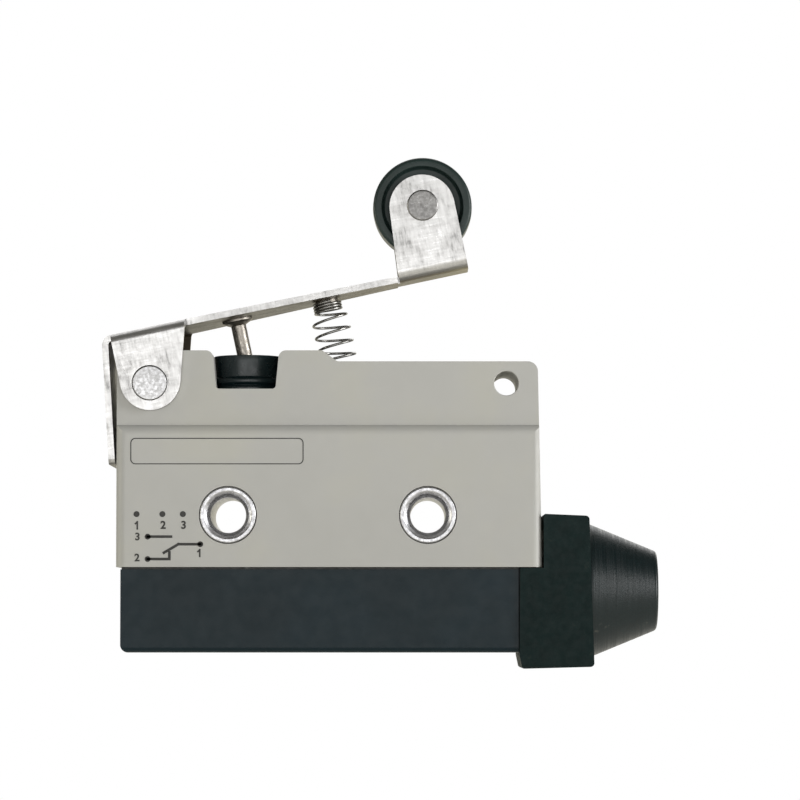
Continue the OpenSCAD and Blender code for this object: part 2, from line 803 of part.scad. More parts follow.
module terminal_block() {
    rib_t = 0.8;
    rib_half = 5;
    rib_h = 3.6;
    color([0.15, 0.15, 0.16])
        difference() {
            union() {
                box([-block_end, mid_y - block_half, bar_bottom], [block_end, mid_y + block_half, block_top]);
                for (x = [terminal_mid - terminal_pitch / 2, terminal_mid + terminal_pitch / 2])
                    box([x - rib_t / 2, mid_y - rib_half, bar_bottom - rib_h],
                        [x + rib_t / 2, mid_y + rib_half, bar_bottom]);
            }
            for (x = [nc_x, no_x, com_x])
                box([x - running, mid_y - bar_w / 2 - running, -far],
                    [x + bar_t + running, mid_y + bar_w / 2 + running, 0]);
            at_screws() translate([0, 0, bar_bottom - 1]) cylinder(d = screw_d, h = screw_l);
        }
}

// ---- cover and boot ----

module cover_gasket() {
    half = cover_t / 2 - 0.05;
    end_half = neck_t / 2;
    color([0.1, 0.1, 0.1])
        difference() {
            union() {
                box([case_left + 0.75, mid_y - half, tray_top], [collar_left - 0.2, mid_y + half, case_bottom]);
                box([0, mid_y - end_half, tray_top], [case_right - 0.3, mid_y + end_half, case_bottom]);
            }
            box([-block_end - 0.1, mid_y - block_half - 0.1, tray_top - 1],
                [block_end + 0.1, mid_y + block_half + 0.1, case_bottom + 1]);
        }
}

// Side view of the cover's tray
module tray_outline() {
    left = case_left + 0.6;
    polygon(concat(
        arc(left + 1, cover_bottom + 1, 1, 180, 270),
        [[collar_left - 0.2, cover_bottom], [collar_left - 0.2, tray_top], [left, tray_top]]));
}

module terminal_cover() {
    inner = cover_t / 2 - cover_wall;
    neck_in = neck_t / 2 - cover_wall;
    left = case_left + 0.6 + cover_wall;
    floor_z = cover_bottom + cover_wall;
    neck_from = case_right + 0.25;
    color([0.14, 0.18, 0.2])
        difference() {
            union() {
                slab(mid_y - cover_t / 2, mid_y + cover_t / 2) tray_outline();
                box([collar_left - 1, mid_y - neck_t / 2, cover_bottom], [neck_end, mid_y + neck_t / 2, tray_top]);
                box([neck_from, mid_y - neck_t / 2, cover_bottom], [neck_end, mid_y + neck_t / 2, neck_top]);
            }
            box([left, mid_y - inner, floor_z], [collar_left - 1.4, mid_y + inner, 0]);
            box([left, mid_y - neck_in, floor_z], [case_right - 1.2, mid_y + neck_in, 0]);
            box([left, mid_y - block_half - 0.1, bar_bottom - 0.1],
                [block_end + 0.1, mid_y + block_half + 0.1, 0]);
            box([left, mid_y - neck_in, floor_z], [neck_end + 1, mid_y + neck_in, tray_top - cover_wall]);
            box([neck_from + cover_wall, mid_y - neck_in, floor_z],
                [neck_end + 1, mid_y + neck_in, neck_top - cover_wall]);
        }
}

// Side view of the boot's collar
module collar_outline() {
    low = -19.5;
    high = 0.15;
    polygon([[collar_left, case_bottom - 0.12], [collar_left - 0.1, low + 1.7], [collar_left + 0.2, low],
        [nose_start + 0.5, low + 0.25], [nose_start - 0.1, high - 0.25], [case_right + 0.2, high],
        [case_right + 0.2, case_bottom - 0.12]]);
}

module cable_boot() {
    fit = 0.04;
    neck_in = neck_t / 2 + fit;
    nose_wall = 1.9;
    tip_r = 0.7;
    bore_from = nose_end - 6.5;
    color([0.12, 0.15, 0.15])
        difference() {
            union() {
                slab(mid_y - collar_t / 2, mid_y + collar_t / 2) collar_outline();
                translate([0, mid_y, nose_z]) rotate([0, 90, 0])
                    rotate_extrude()
                        polygon(concat(
                            [[0, nose_start - 1], [nose_base_d / 2, nose_start - 1],
                            [nose_base_d / 2, nose_start + 0.4]],
                            arc(nose_tip_d / 2 - tip_r, nose_end - tip_r, tip_r, 20, 90),
                            [[0, nose_end]]));
            }
            box([collar_left - 1, mid_y - neck_in, cover_bottom - fit],
                [neck_end + 0.1, mid_y + neck_in, case_bottom]);
            box([case_right, mid_y - neck_in, cover_bottom - fit],
                [neck_end + 0.1, mid_y + neck_in, neck_top + fit]);
            translate([neck_end, mid_y, nose_z]) rotate([0, 90, 0])
                cylinder(d1 = nose_base_d - 2 * nose_wall - 1, d2 = cable_d, h = bore_from - neck_end);
            translate([neck_end, mid_y, nose_z]) rotate([0, 90, 0]) cylinder(d = cable_d, h = far);
        }
}

housing_front();
housing_back();
eyelet_left();
eyelet_right();
hinge_pin();
lever();
push_pin();
spring_stud();
roller_axle();
roller();
return_spring();
plunger_seal();
plunger();
overtravel_spring();
actuator_pin();
contact_blade();
moving_contacts();
snap_tongue();
terminal_com();
terminal_no();
terminal_nc();
fixed_contact_no();
fixed_contact_nc();
terminal_screws();
terminal_washers();
terminal_block();
cover_gasket();
terminal_cover();
cable_boot();
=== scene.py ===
import json
import math

import bmesh
import bpy
from mathutils import Matrix, Vector


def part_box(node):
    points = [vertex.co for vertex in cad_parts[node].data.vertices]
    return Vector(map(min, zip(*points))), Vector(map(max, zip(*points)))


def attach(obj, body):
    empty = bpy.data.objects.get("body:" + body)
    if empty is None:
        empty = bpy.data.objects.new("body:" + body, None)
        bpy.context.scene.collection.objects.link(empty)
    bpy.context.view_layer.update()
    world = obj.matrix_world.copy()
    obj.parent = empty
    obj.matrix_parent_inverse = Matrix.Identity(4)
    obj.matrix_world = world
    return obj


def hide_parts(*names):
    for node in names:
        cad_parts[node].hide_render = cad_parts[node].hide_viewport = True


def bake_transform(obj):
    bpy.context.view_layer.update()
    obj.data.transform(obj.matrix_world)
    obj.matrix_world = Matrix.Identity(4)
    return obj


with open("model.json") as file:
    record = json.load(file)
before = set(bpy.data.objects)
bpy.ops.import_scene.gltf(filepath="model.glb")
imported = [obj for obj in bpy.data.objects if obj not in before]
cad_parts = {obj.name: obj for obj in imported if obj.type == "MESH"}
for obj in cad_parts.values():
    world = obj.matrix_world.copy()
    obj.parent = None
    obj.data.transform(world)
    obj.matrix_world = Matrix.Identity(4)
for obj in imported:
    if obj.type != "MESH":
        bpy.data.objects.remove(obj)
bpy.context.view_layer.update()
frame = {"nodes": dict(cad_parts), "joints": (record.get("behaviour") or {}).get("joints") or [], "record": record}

MM = 0.001

# ---------------------------------------------------------------- places, from the frame (millimetres)


def box_mm(node):
    low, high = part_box(node)
    return low / MM, high / MM


def centre_mm(node):
    low, high = box_mm(node)
    return (low + high) / 2


JOINTS = {j["name"]: j for j in frame["joints"]}
PIVOT = Vector(JOINTS["lever_pivot"]["pos_m"]) / MM
AXLE = Vector(JOINTS["roller_spin"]["pos_m"]) / MM
CASE_LOW, CASE_HIGH = box_mm("housing_front")
BACK_Y = box_mm("housing_back")[1].y
FRONT_Y = CASE_LOW.y
MID_Y = PIVOT.y
HOLES = [centre_mm("eyelet_left"), centre_mm("eyelet_right")]
SEAL = centre_mm("plunger_seal")
SEAL_LOW, SEAL_HIGH = box_mm("plunger_seal")
COVER_LOW, COVER_HIGH = box_mm("terminal_cover")
BOOT_LOW, BOOT_HIGH = box_mm("cable_boot")
SPRING_FOOT_Z = box_mm("return_spring")[0].z

# ---------------------------------------------------------------- shapes of the switch (millimetres)

# case
UPPER_HALF = 7.8
SHOULDER_Z = 11.5
EDGE_R = 1.3
TOP_Z = 19.6
STEP_FROM = -0.75
STEP_TO = 1.15
NOTCH_Z = SEAL_LOW.z - 0.02
NOTCH_MOUTH = 8.5
NOTCH_FLOOR = 7.56
RIGHT_LEAN = 0.5
PIVOT_HOLE_R = 1.55
SEAL_BORE_R = 4.7
WELL_X = 1.5
WELL_R = 3.3
WELL_FLOOR = 16.0
CHAMBER_END = 24.8
CHAMBER_DEPTH = 6.3
CHAMBER_TOP = 14.1
BOSS_R = 4.3
GUIDE_R = 1.95
RIB_LOW = 8.2
RIB_HIGH = 8.75
RIB_HALF = 3.5
RIB_HOLE_R = 1.05

# mounting eyelets
EYELET_BORE_R = 2.25
EYELET_TUBE_R = 2.65
EYELET_LIP_R = 3.6
SEAT_DEPTH = 0.7

# lever, drawn with its arm level and its pivot at the origin
AXLE_IN_LEVER = Vector((38.8, 15.4))
FORK_CENTRE = Vector((38.7, 15.2))
FORK_FOOT = 0.6
SLOPE = math.atan2(AXLE.z - PIVOT.z, AXLE.x - PIVOT.x) - math.atan2(AXLE_IN_LEVER.y, AXLE_IN_LEVER.x)
SHEET = 0.8
ARM_TOP = 7.1
ARM_WIDE = Vector((8.0, 7.5))
ARM_NARROW_X = 33.0
PLATE = ARM_TOP - SHEET / 2
EAR_HALF = 8.7 - SHEET / 2
FORK_HALF = 4.2 - SHEET / 2
EAR_BEND_R = 0.75
FORK_BEND_R = 1.15
TAB_BEND_R = 0.9
TAB_LEAN = math.radians(8.6)
TAB_START = -3.72
TAB_LENGTH = 15.2
TAB_HALF = 7.6
EAR_R = 3.85
EAR_CENTRE = Vector((0.15, 0.35))
EAR_REACH = 6.1
EAR_LEFT = EAR_CENTRE.x - EAR_R
FORK_R = 4.2
FORK_FROM = FORK_CENTRE.x - FORK_R - FORK_FOOT - 0.1
PIN_HEAD_R = 2.2
PIN_R = 1.5
AXLE_R = 1.5
AXLE_HEAD_R = 2.0
PUSH_X = 12.35
PUSH_R = 0.975
PUSH_TIP = -1.91
STUD_X = 24.15
STUD_R = 1.5
STUD_L = 1.25

# roller
ROLLER_R = 6.4
ROLLER_HALF = 2.7
ROLLER_BORE_R = 1.55
HUB_HALF = 3.2
RIM = 1.15
DISH = 0.75

# return spring
SPRING_FOOT_X = 2.0
SPRING_R = 2.305
SPRING_HEAD_R = 1.73
SPRING_WIRE_R = 0.17
SPRING_PHASE = math.radians(122)
OVERTRAVEL_R = 1.0
OVERTRAVEL_WIRE_R = 0.14

# seal
SEAL_R = 4.6
SEAL_HOLE_R = 1.45

# cover: a tray under the case, and a narrower throat and neck that the boot grips
COVER_HALF = 8.15
COVER_WALL = 1.25
TRAY_END = 24.2
NECK_HALF = 7.15
NECK_INSIDE = NECK_HALF - COVER_WALL
BLOCK_SEAT_HALF = 6.35
BLOCK_SEAT_Z = -8.3

# boot
BOOT_HALF = 8.6
BOOT_FIT = 0.04
NOSE_Z = -9.55
NOSE_START = 33.3
NOSE_BASE_R = 8.55
NOSE_TIP_R = 5.2
NOSE_RINGS = 34
RING_DEPTH = 0.022
CABLE_R = 3.0
GRIP_START = BOOT_HIGH.x - 6.5

# printing
INK = 0.02
STROKE = 0.34
TERMINAL_X = (-24.28, -21.0, -18.4)
TYPE_SIZE = 1.38


# ---------------------------------------------------------------- mesh helpers


def fillet(points, closed=True, step=math.radians(8)):
    """Rounds the corners of an outline. Each point is (a, b) or (a, b, radius)."""
    out = []
    n = len(points)
    for i, p in enumerate(points):
        r = p[2] if len(p) > 2 else 0
        here = Vector(p[:2])
        if r <= 0 or (not closed and i in (0, n - 1)):
            out.append(here)
            continue
        before = (Vector(points[i - 1][:2]) - here).normalized()
        after = (Vector(points[(i + 1) % n][:2]) - here).normalized()
        half = math.acos(max(-1, min(1, before.dot(after)))) / 2
        centre = here + (before + after).normalized() * (r / math.sin(half))
        start = here + before * (r / math.tan(half)) - centre
        sweep = math.pi - 2 * half
        sign = 1 if before.x * after.y - before.y * after.x < 0 else -1
        steps = max(2, math.ceil(sweep / step))
        for k in range(steps + 1):
            out.append(centre + Matrix.Rotation(sign * sweep * k / steps, 2) @ start)
    return out


def to_object(name, bm, matrix=None):
    """Turns a bmesh in millimetres into an object in metres."""
    bmesh.ops.recalc_face_normals(bm, faces=bm.faces)
    mesh = bpy.data.meshes.new(name)
    bm.to_mesh(mesh)
    bm.free()
    mesh.transform(Matrix.Scale(MM, 4) @ (matrix or Matrix.Identity(4)))
    piece = bpy.data.objects.new(name, mesh)
    bpy.context.scene.collection.objects.link(piece)
    return piece


AXES = {"X": lambda a, b, h: (h, a, b), "Y": lambda a, b, h: (a, h, b), "Z": lambda a, b, h: (a, b, h)}


def prism(name, outline, low, high, axis="Y", matrix=None):
    """An outline given thickness along an axis, from low to high."""
    bm = bmesh.new()
    place = AXES[axis]
    ends = [[bm.verts.new(place(p[0], p[1], h)) for p in outline] for h in (low, high)]
    for ring in ends:
        bm.faces.new(ring)
    for i in range(len(outline)):
        j = (i + 1) % len(outline)
        bm.faces.new([ends[0][i], ends[0][j], ends[1][j], ends[1][i]])
    return to_object(name, bm, matrix)


def block(name, low, high):
    """A plain box between two corners, used to cut hollows."""
    outline = [(low[0], low[2]), (high[0], low[2]), (high[0], high[2]), (low[0], high[2])]
    return prism(name, outline, low[1], high[1])


def lathe(name, profile, centre, axis="Z", closed=False, segments=96, matrix=None):
    """A profile of (radius, height) turned about an axis through centre."""
    bm = bmesh.new()
    place = AXES[axis]
    rings = []
    for r, h in profile:
        count = 1 if r < 1e-6 else segments
        rings.append([
            bm.verts.new(Vector(place(r * math.cos(t), r * math.sin(t), h)) + Vector(centre))
            for t in (2 * math.pi * k / segments for k in range(count))])
    pairs = list(zip(rings, rings[1:])) + ([(rings[-1], rings[0])] if closed else [])
    for a, b in pairs:
        for k in range(segments):
            j = (k + 1) % segments
            corners = [a[k % len(a)], a[j % len(a)], b[j % len(b)], b[k % len(b)]]
            face = [v for i, v in enumerate(corners) if v not in corners[:i]]
            if len(face) > 2:
                bm.faces.new(face)
    return to_object(name, bm, matrix)


def tube(name, path, radius, sides=12):
    """A round wire along a list of points."""
    bm = bmesh.new()
    rings = []
    side = None
    for i, p in enumerate(path):
        along = (path[min(i + 1, len(path) - 1)] - path[max(i - 1, 0)]).normalized()
        side = side or along.orthogonal()
        side = (side - along * side.dot(along)).normalized()
        up = along.cross(side)
        rings.append([
            bm.verts.new(p + radius * (math.cos(t) * side + math.sin(t) * up))
            for t in (2 * math.pi * k / sides for k in range(sides))])
    for a, b in zip(rings, rings[1:]):
        for k in range(sides):
            bm.faces.new([a[k], a[(k + 1) % sides], b[(k + 1) % sides], b[k]])
    for ring in (rings[0], rings[-1]):
        bm.faces.new(ring)
    return to_object(name, bm)


def apply(piece, kind, **settings):
    """Adds one modifier and applies it at once."""
    modifier = piece.modifiers.new(kind.lower(), kind)
    for key, value in settings.items():
        setattr(modifier, key, value)
    bpy.context.view_layer.objects.active = piece
    bpy.ops.object.modifier_apply(modifier=modifier.name)


def combine(piece, tools, operation):
    """Booleans each tool into the piece and removes the tool."""
    for tool in tools:
        apply(piece, "BOOLEAN", operation=operation, solver="EXACT", object=tool)
        bpy.data.objects.remove(tool)
    return piece


def cut(piece, *tools):
    return combine(piece, tools, "DIFFERENCE")


def keep_common(piece, *tools):
    return combine(piece, tools, "INTERSECT")


def join(piece, *tools):
    return combine(piece, tools, "UNION")


def round_edges(piece, width, segments=3, angle=30):
    """Rounds every edge sharper than angle."""
    apply(piece, "BEVEL", width=width * MM, segments=segments, limit_method="ANGLE",
          angle_limit=math.radians(angle), miter_outer="MITER_ARC", use_clamp_overlap=True)


def smooth(piece, angle=35):
    piece.data.shade_smooth()
    piece.data.set_sharp_from_angle(angle=math.radians(angle))


def weigh_normals(piece, angle=40):
    """Smooth shading in which large flat faces stay flat."""
    smooth(piece, angle)
    apply(piece, "WEIGHTED_NORMAL", keep_sharp=True, weight=100)


def rod(name, x, z, r, low, high, segments=64):
    """A cylinder along Y, used to cut holes."""
    return lathe(name, [(0, low), (r, low), (r, high), (0, high)], (x, 0, z), "Y", segments=segments)


def post(name, x, y, r, low, high, segments=96):
    """A cylinder along Z, used to cut wells."""
    return lathe(name, [(0, low), (r, low), (r, high), (0, high)], (x, y, 0), "Z", segments=segments)


# ---------------------------------------------------------------- material helpers


class Finish:
    """A principled material whose texture coordinates are millimetres in the object's own frame."""

    def __init__(self, name, colour, roughness, metallic=0.0, turn=0.0, **sockets):
        self.material = bpy.data.materials.new(name)
        self.material.use_nodes = True
        self.nodes = self.material.node_tree.nodes
        self.links = self.material.node_tree.links
        self.shader = self.nodes["Principled BSDF"]
        self.shader.inputs["Base Color"].default_value = (*colour, 1)
        self.shader.inputs["Roughness"].default_value = roughness
        self.shader.inputs["Metallic"].default_value = metallic
        for key, value in sockets.items():
            self.shader.inputs[key.replace("_", " ")].default_value = value
        self.turn = turn
        self.source = self.nodes.new("ShaderNodeTexCoord")
        turned = self.nodes.new("ShaderNodeMapping")
        turned.inputs["Rotation"].default_value = (0, turn, 0)
        turned.inputs["Scale"].default_value = (1 / MM, 1 / MM, 1 / MM)
        self.links.new(self.source.outputs["Object"], turned.inputs["Vector"])
        self.place = turned.outputs["Vector"]

    def stretch(self, scale):
        """The coordinates squeezed by scale, for streaks."""
        mapping = self.nodes.new("ShaderNodeMapping")
        mapping.inputs["Scale"].default_value = scale
        self.links.new(self.place, mapping.inputs["Vector"])
        return mapping.outputs["Vector"]

    def noise(self, scale, detail=4.0, rough=0.55, vector=None):
        node = self.nodes.new("ShaderNodeTexNoise")
        node.inputs["Scale"].default_value = scale
        node.inputs["Detail"].default_value = detail
        node.inputs["Roughness"].default_value = rough
        self.links.new(vector or self.place, node.inputs["Vector"])
        return node.outputs["Fac"]

    def parts(self, vector):
        """The X, Y and Z of a vector."""
        node = self.nodes.new("ShaderNodeSeparateXYZ")
        self.links.new(vector, node.inputs["Vector"])
        return node.outputs["X"], node.outputs["Y"], node.outputs["Z"]

    def facing(self):
        """The surface's own direction, turned like the coordinates."""
        mapping = self.nodes.new("ShaderNodeMapping")
        mapping.vector_type = "VECTOR"
        mapping.inputs["Rotation"].default_value = (0, self.turn, 0)
        self.links.new(self.source.outputs["Normal"], mapping.inputs["Vector"])
        return self.parts(mapping.outputs["Vector"])

    def math(self, operation, *values):
        """One sum on texture values."""
        node = self.nodes.new("ShaderNodeMath")
        node.operation = operation
        for socket, value in zip(node.inputs, values):
            if isinstance(value, (int, float)):
                socket.default_value = value
            else:
                self.links.new(value, socket)
        return node.outputs["Value"]

    def blend(self, factor, first, second):
        """Fades from the first colour to the second."""
        node = self.nodes.new("ShaderNodeMix")
        node.data_type = "RGBA"
        self.links.new(factor, node.inputs["Factor"])
        for socket, value in zip([i for i in node.inputs if i.type == "RGBA"], (first, second)):
            self.links.new(value, socket)
        return next(o for o in node.outputs if o.type == "RGBA")

    def ramp(self, value, low, high, from_low=0.35, from_high=0.65):
        """Maps a texture value to a range of numbers."""
        node = self.nodes.new("ShaderNodeMapRange")
        limits = {"From Min": from_low, "From Max": from_high, "To Min": low, "To Max": high}
        for key, number in limits.items():
            node.inputs[key].default_value = number
        self.links.new(value, node.inputs["Value"])
        return node.outputs["Result"]

    def colours(self, value, stops):
        """Maps a texture value to colours: stops are (position, colour)."""
        node = self.nodes.new("ShaderNodeValToRGB")
        elements = node.color_ramp.elements
        while len(elements) < len(stops):
            elements.new(0.5)
        for element, (position, colour) in zip(elements, stops):
            element.position = position
            element.color = (*colour, 1)
        self.links.new(value, node.inputs["Fac"])
        return node.outputs["Color"]

    def feed(self, socket, value):
        self.links.new(value, self.shader.inputs[socket])

    def bump(self, *layers):
        """Stacks bump layers, each (texture value, depth in millimetres)."""
        normal = None
        for value, depth in layers:
            node = self.nodes.new("ShaderNodeBump")
            node.inputs["Distance"].default_value = depth * MM
            node.inputs["Strength"].default_value = 1.0
            self.links.new(value, node.inputs["Height"])
            if normal is not None:
                self.links.new(normal, node.inputs["Normal"])
            normal = node.outputs["Normal"]
        self.feed("Normal", normal)


def shade(colour, factor):
    return tuple(c * factor for c in colour)


def moulded(name, colour, roughness, grain=0.012, spread=0.05, tint=(1, 1, 1), **sockets):
    """Moulded plastic: slow colour drift, spark-eroded grain and a few worn, smoother patches."""
    f = Finish(name, colour, roughness, **sockets)
    drift = f.noise(0.09, 3)
    warm = tuple(c * t for c, t in zip(colour, tint))
    f.feed("Base Color", f.colours(drift, [(0.3, shade(colour, 1 - spread)), (0.5, colour),
                                           (0.7, shade(warm, 1 + spread))]))
    f.feed("Roughness", f.ramp(f.noise(0.6, 5), roughness * 0.86, roughness * 1.12))
    f.bump((f.noise(9.0, 3), grain), (f.noise(0.35, 2), grain * 2))
    return f.material


def rubber(name, colour, roughness, grain=0.02, dust=(0.11, 0.115, 0.11), **sockets):
    """Rubber: faint bloom in patches and a soft, uneven skin."""
    f = Finish(name, colour, roughness, **sockets)
    f.feed("Base Color", f.colours(f.noise(0.5, 8, 0.7), [(0.35, colour), (0.62, shade(colour, 1.35)),
                                                         (0.8, dust)]))
    f.feed("Roughness", f.ramp(f.noise(1.3, 6), roughness * 0.8, roughness * 1.2))
    f.bump((f.noise(5.0, 4), grain), (f.noise(0.5, 2), grain * 2.5))
    return f.material


def brushed(name, colour, roughness, turn=0.0, along=(0.05, 1, 1), depth=0.004, stain=0.16, **sockets):
    """Rolled or brushed metal: fine streaks along one direction, with soft stains and scratches."""
    f = Finish(name, colour, roughness, 1.0, turn, **sockets)
    streaks = f.noise(7.0, 4, 0.65, f.stretch(along))
    stains = f.noise(0.45, 6, 0.6)
    f.feed("Base Color", f.colours(stains, [(0.3, shade(colour, 1 - stain)), (0.55, colour),
                                            (0.75, shade(colour, 1 + stain / 2))]))
    f.feed("Roughness", f.ramp(streaks, roughness * 0.75, roughness * 1.35))
    f.bump((streaks, depth), (f.noise(1.1, 5), depth * 3))
    return f.material


def handled_sheet(name, colour, roughness, turn):
    """Folded steel sheet: rubbed bright outside with dull smears and scratches; its inside and underside faces are
    painted with olive and brown shade and reflection.
    """
    f = Finish(name, colour, roughness, 1.0, turn)
    streaks = f.noise(7.0, 4, 0.65, f.stretch((0.05, 1, 1)))
    smears = f.noise(0.42, 6, 0.62)
    scores = f.noise(2.6, 8, 0.75, f.stretch((1, 0.5, 0.16)))
    worn = f.math("ADD", f.math("MULTIPLY", smears, 0.5), f.math("MULTIPLY", scores, 0.5))
    outside = f.colours(worn, [(0.36, shade(colour, 0.45)), (0.45, shade(colour, 0.87)), (0.54, colour),
                               (0.7, shade(colour, 1.1))])
    along, across = f.parts(f.place)[:2]
    # Painted shade and reflection for the inside and underside faces: dark brown near the pivot, where the case
    # shades the arm, turning pale olive towards the tip, where the sheet reflects the table below.
    painted_reflection_ramp = f.math("ADD", f.ramp(along, 0, 0.8, 2, 42), f.math("MULTIPLY", f.noise(0.3, 6, 0.6), 0.3))
    painted_shade_and_reflection = f.colours(painted_reflection_ramp, [(0.1, (0.035, 0.026, 0.016)), (0.5, (0.16, 0.13, 0.07)),
                                 (0.74, (0.55, 0.50, 0.30)), (0.9, (0.90, 0.87, 0.62))])
    # Faces that point inward or down get this painted shade and reflection in place of the bright outside, and are
    # made less metallic.
    aim_y, aim_z = f.facing()[1:]
    inward = f.math("MULTIPLY", f.math("SUBTRACT", MID_Y, across), aim_y)
    hidden = f.math("MAXIMUM", f.math("MULTIPLY", inward, 0.4), f.math("MULTIPLY", aim_z, -1.0))
    dull = f.ramp(hidden, 0, 1, 0.6, 0.97)
    f.feed("Base Color", f.blend(dull, outside, painted_shade_and_reflection))
    f.feed("Metallic", f.math("SUBTRACT", 1.0, f.math("MULTIPLY", dull, 0.4)))
    f.feed("Roughness", f.math("ADD", f.ramp(streaks, -0.06, 0.08),
                               f.ramp(worn, roughness * 1.3, roughness * 0.85)))
    f.bump((streaks, 0.003), (scores, 0.004), (f.noise(1.1, 5), 0.006))
    return f.material


def turned_metal(name, colour, roughness, depth=0.003, dull=0.22, **sockets):
    """Small turned or plated pieces: fine pitting and smears."""
    f = Finish(name, colour, roughness, 1.0, **sockets)
    f.feed("Base Color", f.colours(f.noise(1.6, 6), [(0.3, shade(colour, 1 - dull)), (0.6, colour),
                                                     (0.8, shade(colour, 1 + dull / 3))]))
    f.feed("Roughness", f.ramp(f.noise(3.0, 6), roughness * 0.7, roughness * 1.4))
    f.bump((f.noise(6.0, 5), depth), (f.noise(1.5, 3), depth))
    return f.material


def nose_rubber(name, colour, roughness):
    """Rubber with fine rings round the X axis, as left by its mould."""
    f = Finish(name, colour, roughness, Specular_IOR_Level=0.36)
    rings = f.noise(5.5, 3, 0.6, f.stretch((1, 0.015, 0.015)))
    f.feed("Base Color", f.colours(f.noise(0.6, 8, 0.7), [(0.35, colour), (0.62, shade(colour, 1.3)),
                                                         (0.82, (0.085, 0.085, 0.07))]))
    f.feed("Roughness", f.ramp(rings, roughness * 0.8, roughness * 1.25))
    f.bump((rings, 0.02), (f.noise(4.0, 4), 0.012))
    return f.material


def make_materials():
    grey = (0.437, 0.436, 0.418)
    steel = (0.61, 0.605, 0.60)
    return {
        "case_plastic": moulded("case_plastic", grey, 0.46, 0.006, 0.025, (1.0, 0.995, 0.95),
                                Specular_IOR_Level=0.35),
        "eyelet_metal": turned_metal("eyelet_metal", (0.60, 0.60, 0.62), 0.34, 0.006, 0.3),
        "pin_metal": turned_metal("pin_metal", (0.34, 0.315, 0.28), 0.38, 0.0001, 0.06),
        "hinge_metal": turned_metal("hinge_metal", (0.58, 0.58, 0.59), 0.42, 0.0002, 0.05),
        "axle_metal": turned_metal("axle_metal", (0.29, 0.285, 0.28), 0.38, 0.0015, 0.35),
        "lever_sheet": handled_sheet("lever_sheet", steel, 0.34, SLOPE),
        "roller_plastic": moulded("roller_plastic", (0.017, 0.030, 0.028), 0.36, 0.008, 0.2,
                                  Specular_IOR_Level=0.3),
        "spring_wire": turned_metal("spring_wire", (0.36, 0.355, 0.34), 0.30, 0.002),
        "seal_rubber": rubber("seal_rubber", (0.005, 0.013, 0.015), 0.32, 0.004, (0.018, 0.03, 0.032),
                              Specular_IOR_Level=0.5),
        "plunger_plastic": moulded("plunger_plastic", (0.05, 0.05, 0.055), 0.4),
        "actuator_plastic": moulded("actuator_plastic", (0.70, 0.67, 0.55), 0.45),
        "contact_strip": brushed("contact_strip", (0.72, 0.45, 0.22), 0.3),
        "contact_silver": turned_metal("contact_silver", (0.86, 0.86, 0.84), 0.25),
        "terminal_brass": brushed("terminal_brass", (0.74, 0.58, 0.27), 0.3),
        "screw_metal": turned_metal("screw_metal", (0.72, 0.72, 0.70), 0.3),
        "block_plastic": moulded("block_plastic", (0.02, 0.02, 0.022), 0.5),
        "gasket_rubber": rubber("gasket_rubber", (0.012, 0.012, 0.012), 0.6),
        "cover_plastic": moulded("cover_plastic", (0.003, 0.012, 0.017), 0.33, 0.01, 0.14, (0.9, 1.0, 1.05),
                                 Specular_IOR_Level=0.2),
        "boot_rubber": rubber("boot_rubber", (0.003, 0.010, 0.010), 0.6, 0.014, (0.03, 0.032, 0.026),
                              Specular_IOR_Level=0.15),
        "nose_rubber": nose_rubber("nose_rubber", (0.002, 0.007, 0.008), 0.36),
        "ink": moulded("ink", (0.02, 0.019, 0.017), 0.5, 0.004, 0.3),
    }


MATERIALS = make_materials()


def finish_piece(piece, material, body, *nodes, slot=None):
    """Gives a piece its material, its body and the CAD nodes that it stands for."""
    piece.data.materials.clear()
    piece.data.materials.append(MATERIALS[material])
    if nodes:
        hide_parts(*nodes)
    if body:
        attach(piece, body)
    return piece


# ---------------------------------------------------------------- case


def case_outline():
    left, right, bottom, crown = CASE_LOW.x, CASE_HIGH.x, CASE_LOW.z, CASE_HIGH.z
    mouth, floor = NOTCH_MOUTH / 2, NOTCH_FLOOR / 2
    return fillet([
        (left, bottom), (left, crown, 2.5), (SEAL.x - mouth, crown, 0.95),
        (SEAL.x - floor, NOTCH_Z, 0.45), (SEAL.x + floor, NOTCH_Z, 0.45),
        (SEAL.x + mouth, crown, 0.95), (STEP_FROM, crown, 1.0), (STEP_TO, TOP_Z, 0.4),
        (right - RIGHT_LEAN, TOP_Z, 1.3), (right, bottom)])


def case_section():
    """The front half seen from the end, with the rounded shoulder running into the thin upper part."""
    centre_y, centre_z = FRONT_Y + EDGE_R, SHOULDER_Z - EDGE_R
    upper = MID_Y - UPPER_HALF
    last = math.acos((upper - centre_y) / EDGE_R)
    steps = 10
    arc = [(centre_y + EDGE_R * math.cos(t), centre_z + EDGE_R * math.sin(t))
           for t in (math.pi + (last - math.pi) * k / steps for k in range(steps + 1))]
    return [(FRONT_Y, CASE_LOW.z - 1)] + arc + [(upper, CASE_HIGH.z + 1), (MID_Y, CASE_HIGH.z + 1),
                                               (MID_Y, CASE_LOW.z - 1)]


def case_plan():
    return fillet([(CASE_LOW.x, MID_Y), (CASE_LOW.x, FRONT_Y, EDGE_R), (CASE_HIGH.x, FRONT_Y, EDGE_R),
                   (CASE_HIGH.x, MID_Y)])


def mounting_hole(x, z):
    """An eyelet's hole: the seat of its lip, with a broken edge, and the bore of its tube."""
    seat, r, bore = FRONT_Y + SEAT_DEPTH, EYELET_LIP_R + 0.02, EYELET_TUBE_R + 0.01
    return lathe("eyelet_hole", [(0, FRONT_Y - 1), (r + 0.33, FRONT_Y - 1), (r + 0.06, FRONT_Y + 0.06),
                                 (r, seat), (bore, seat), (bore, MID_Y + 1), (0, MID_Y + 1)], (x, 0, z), "Y")


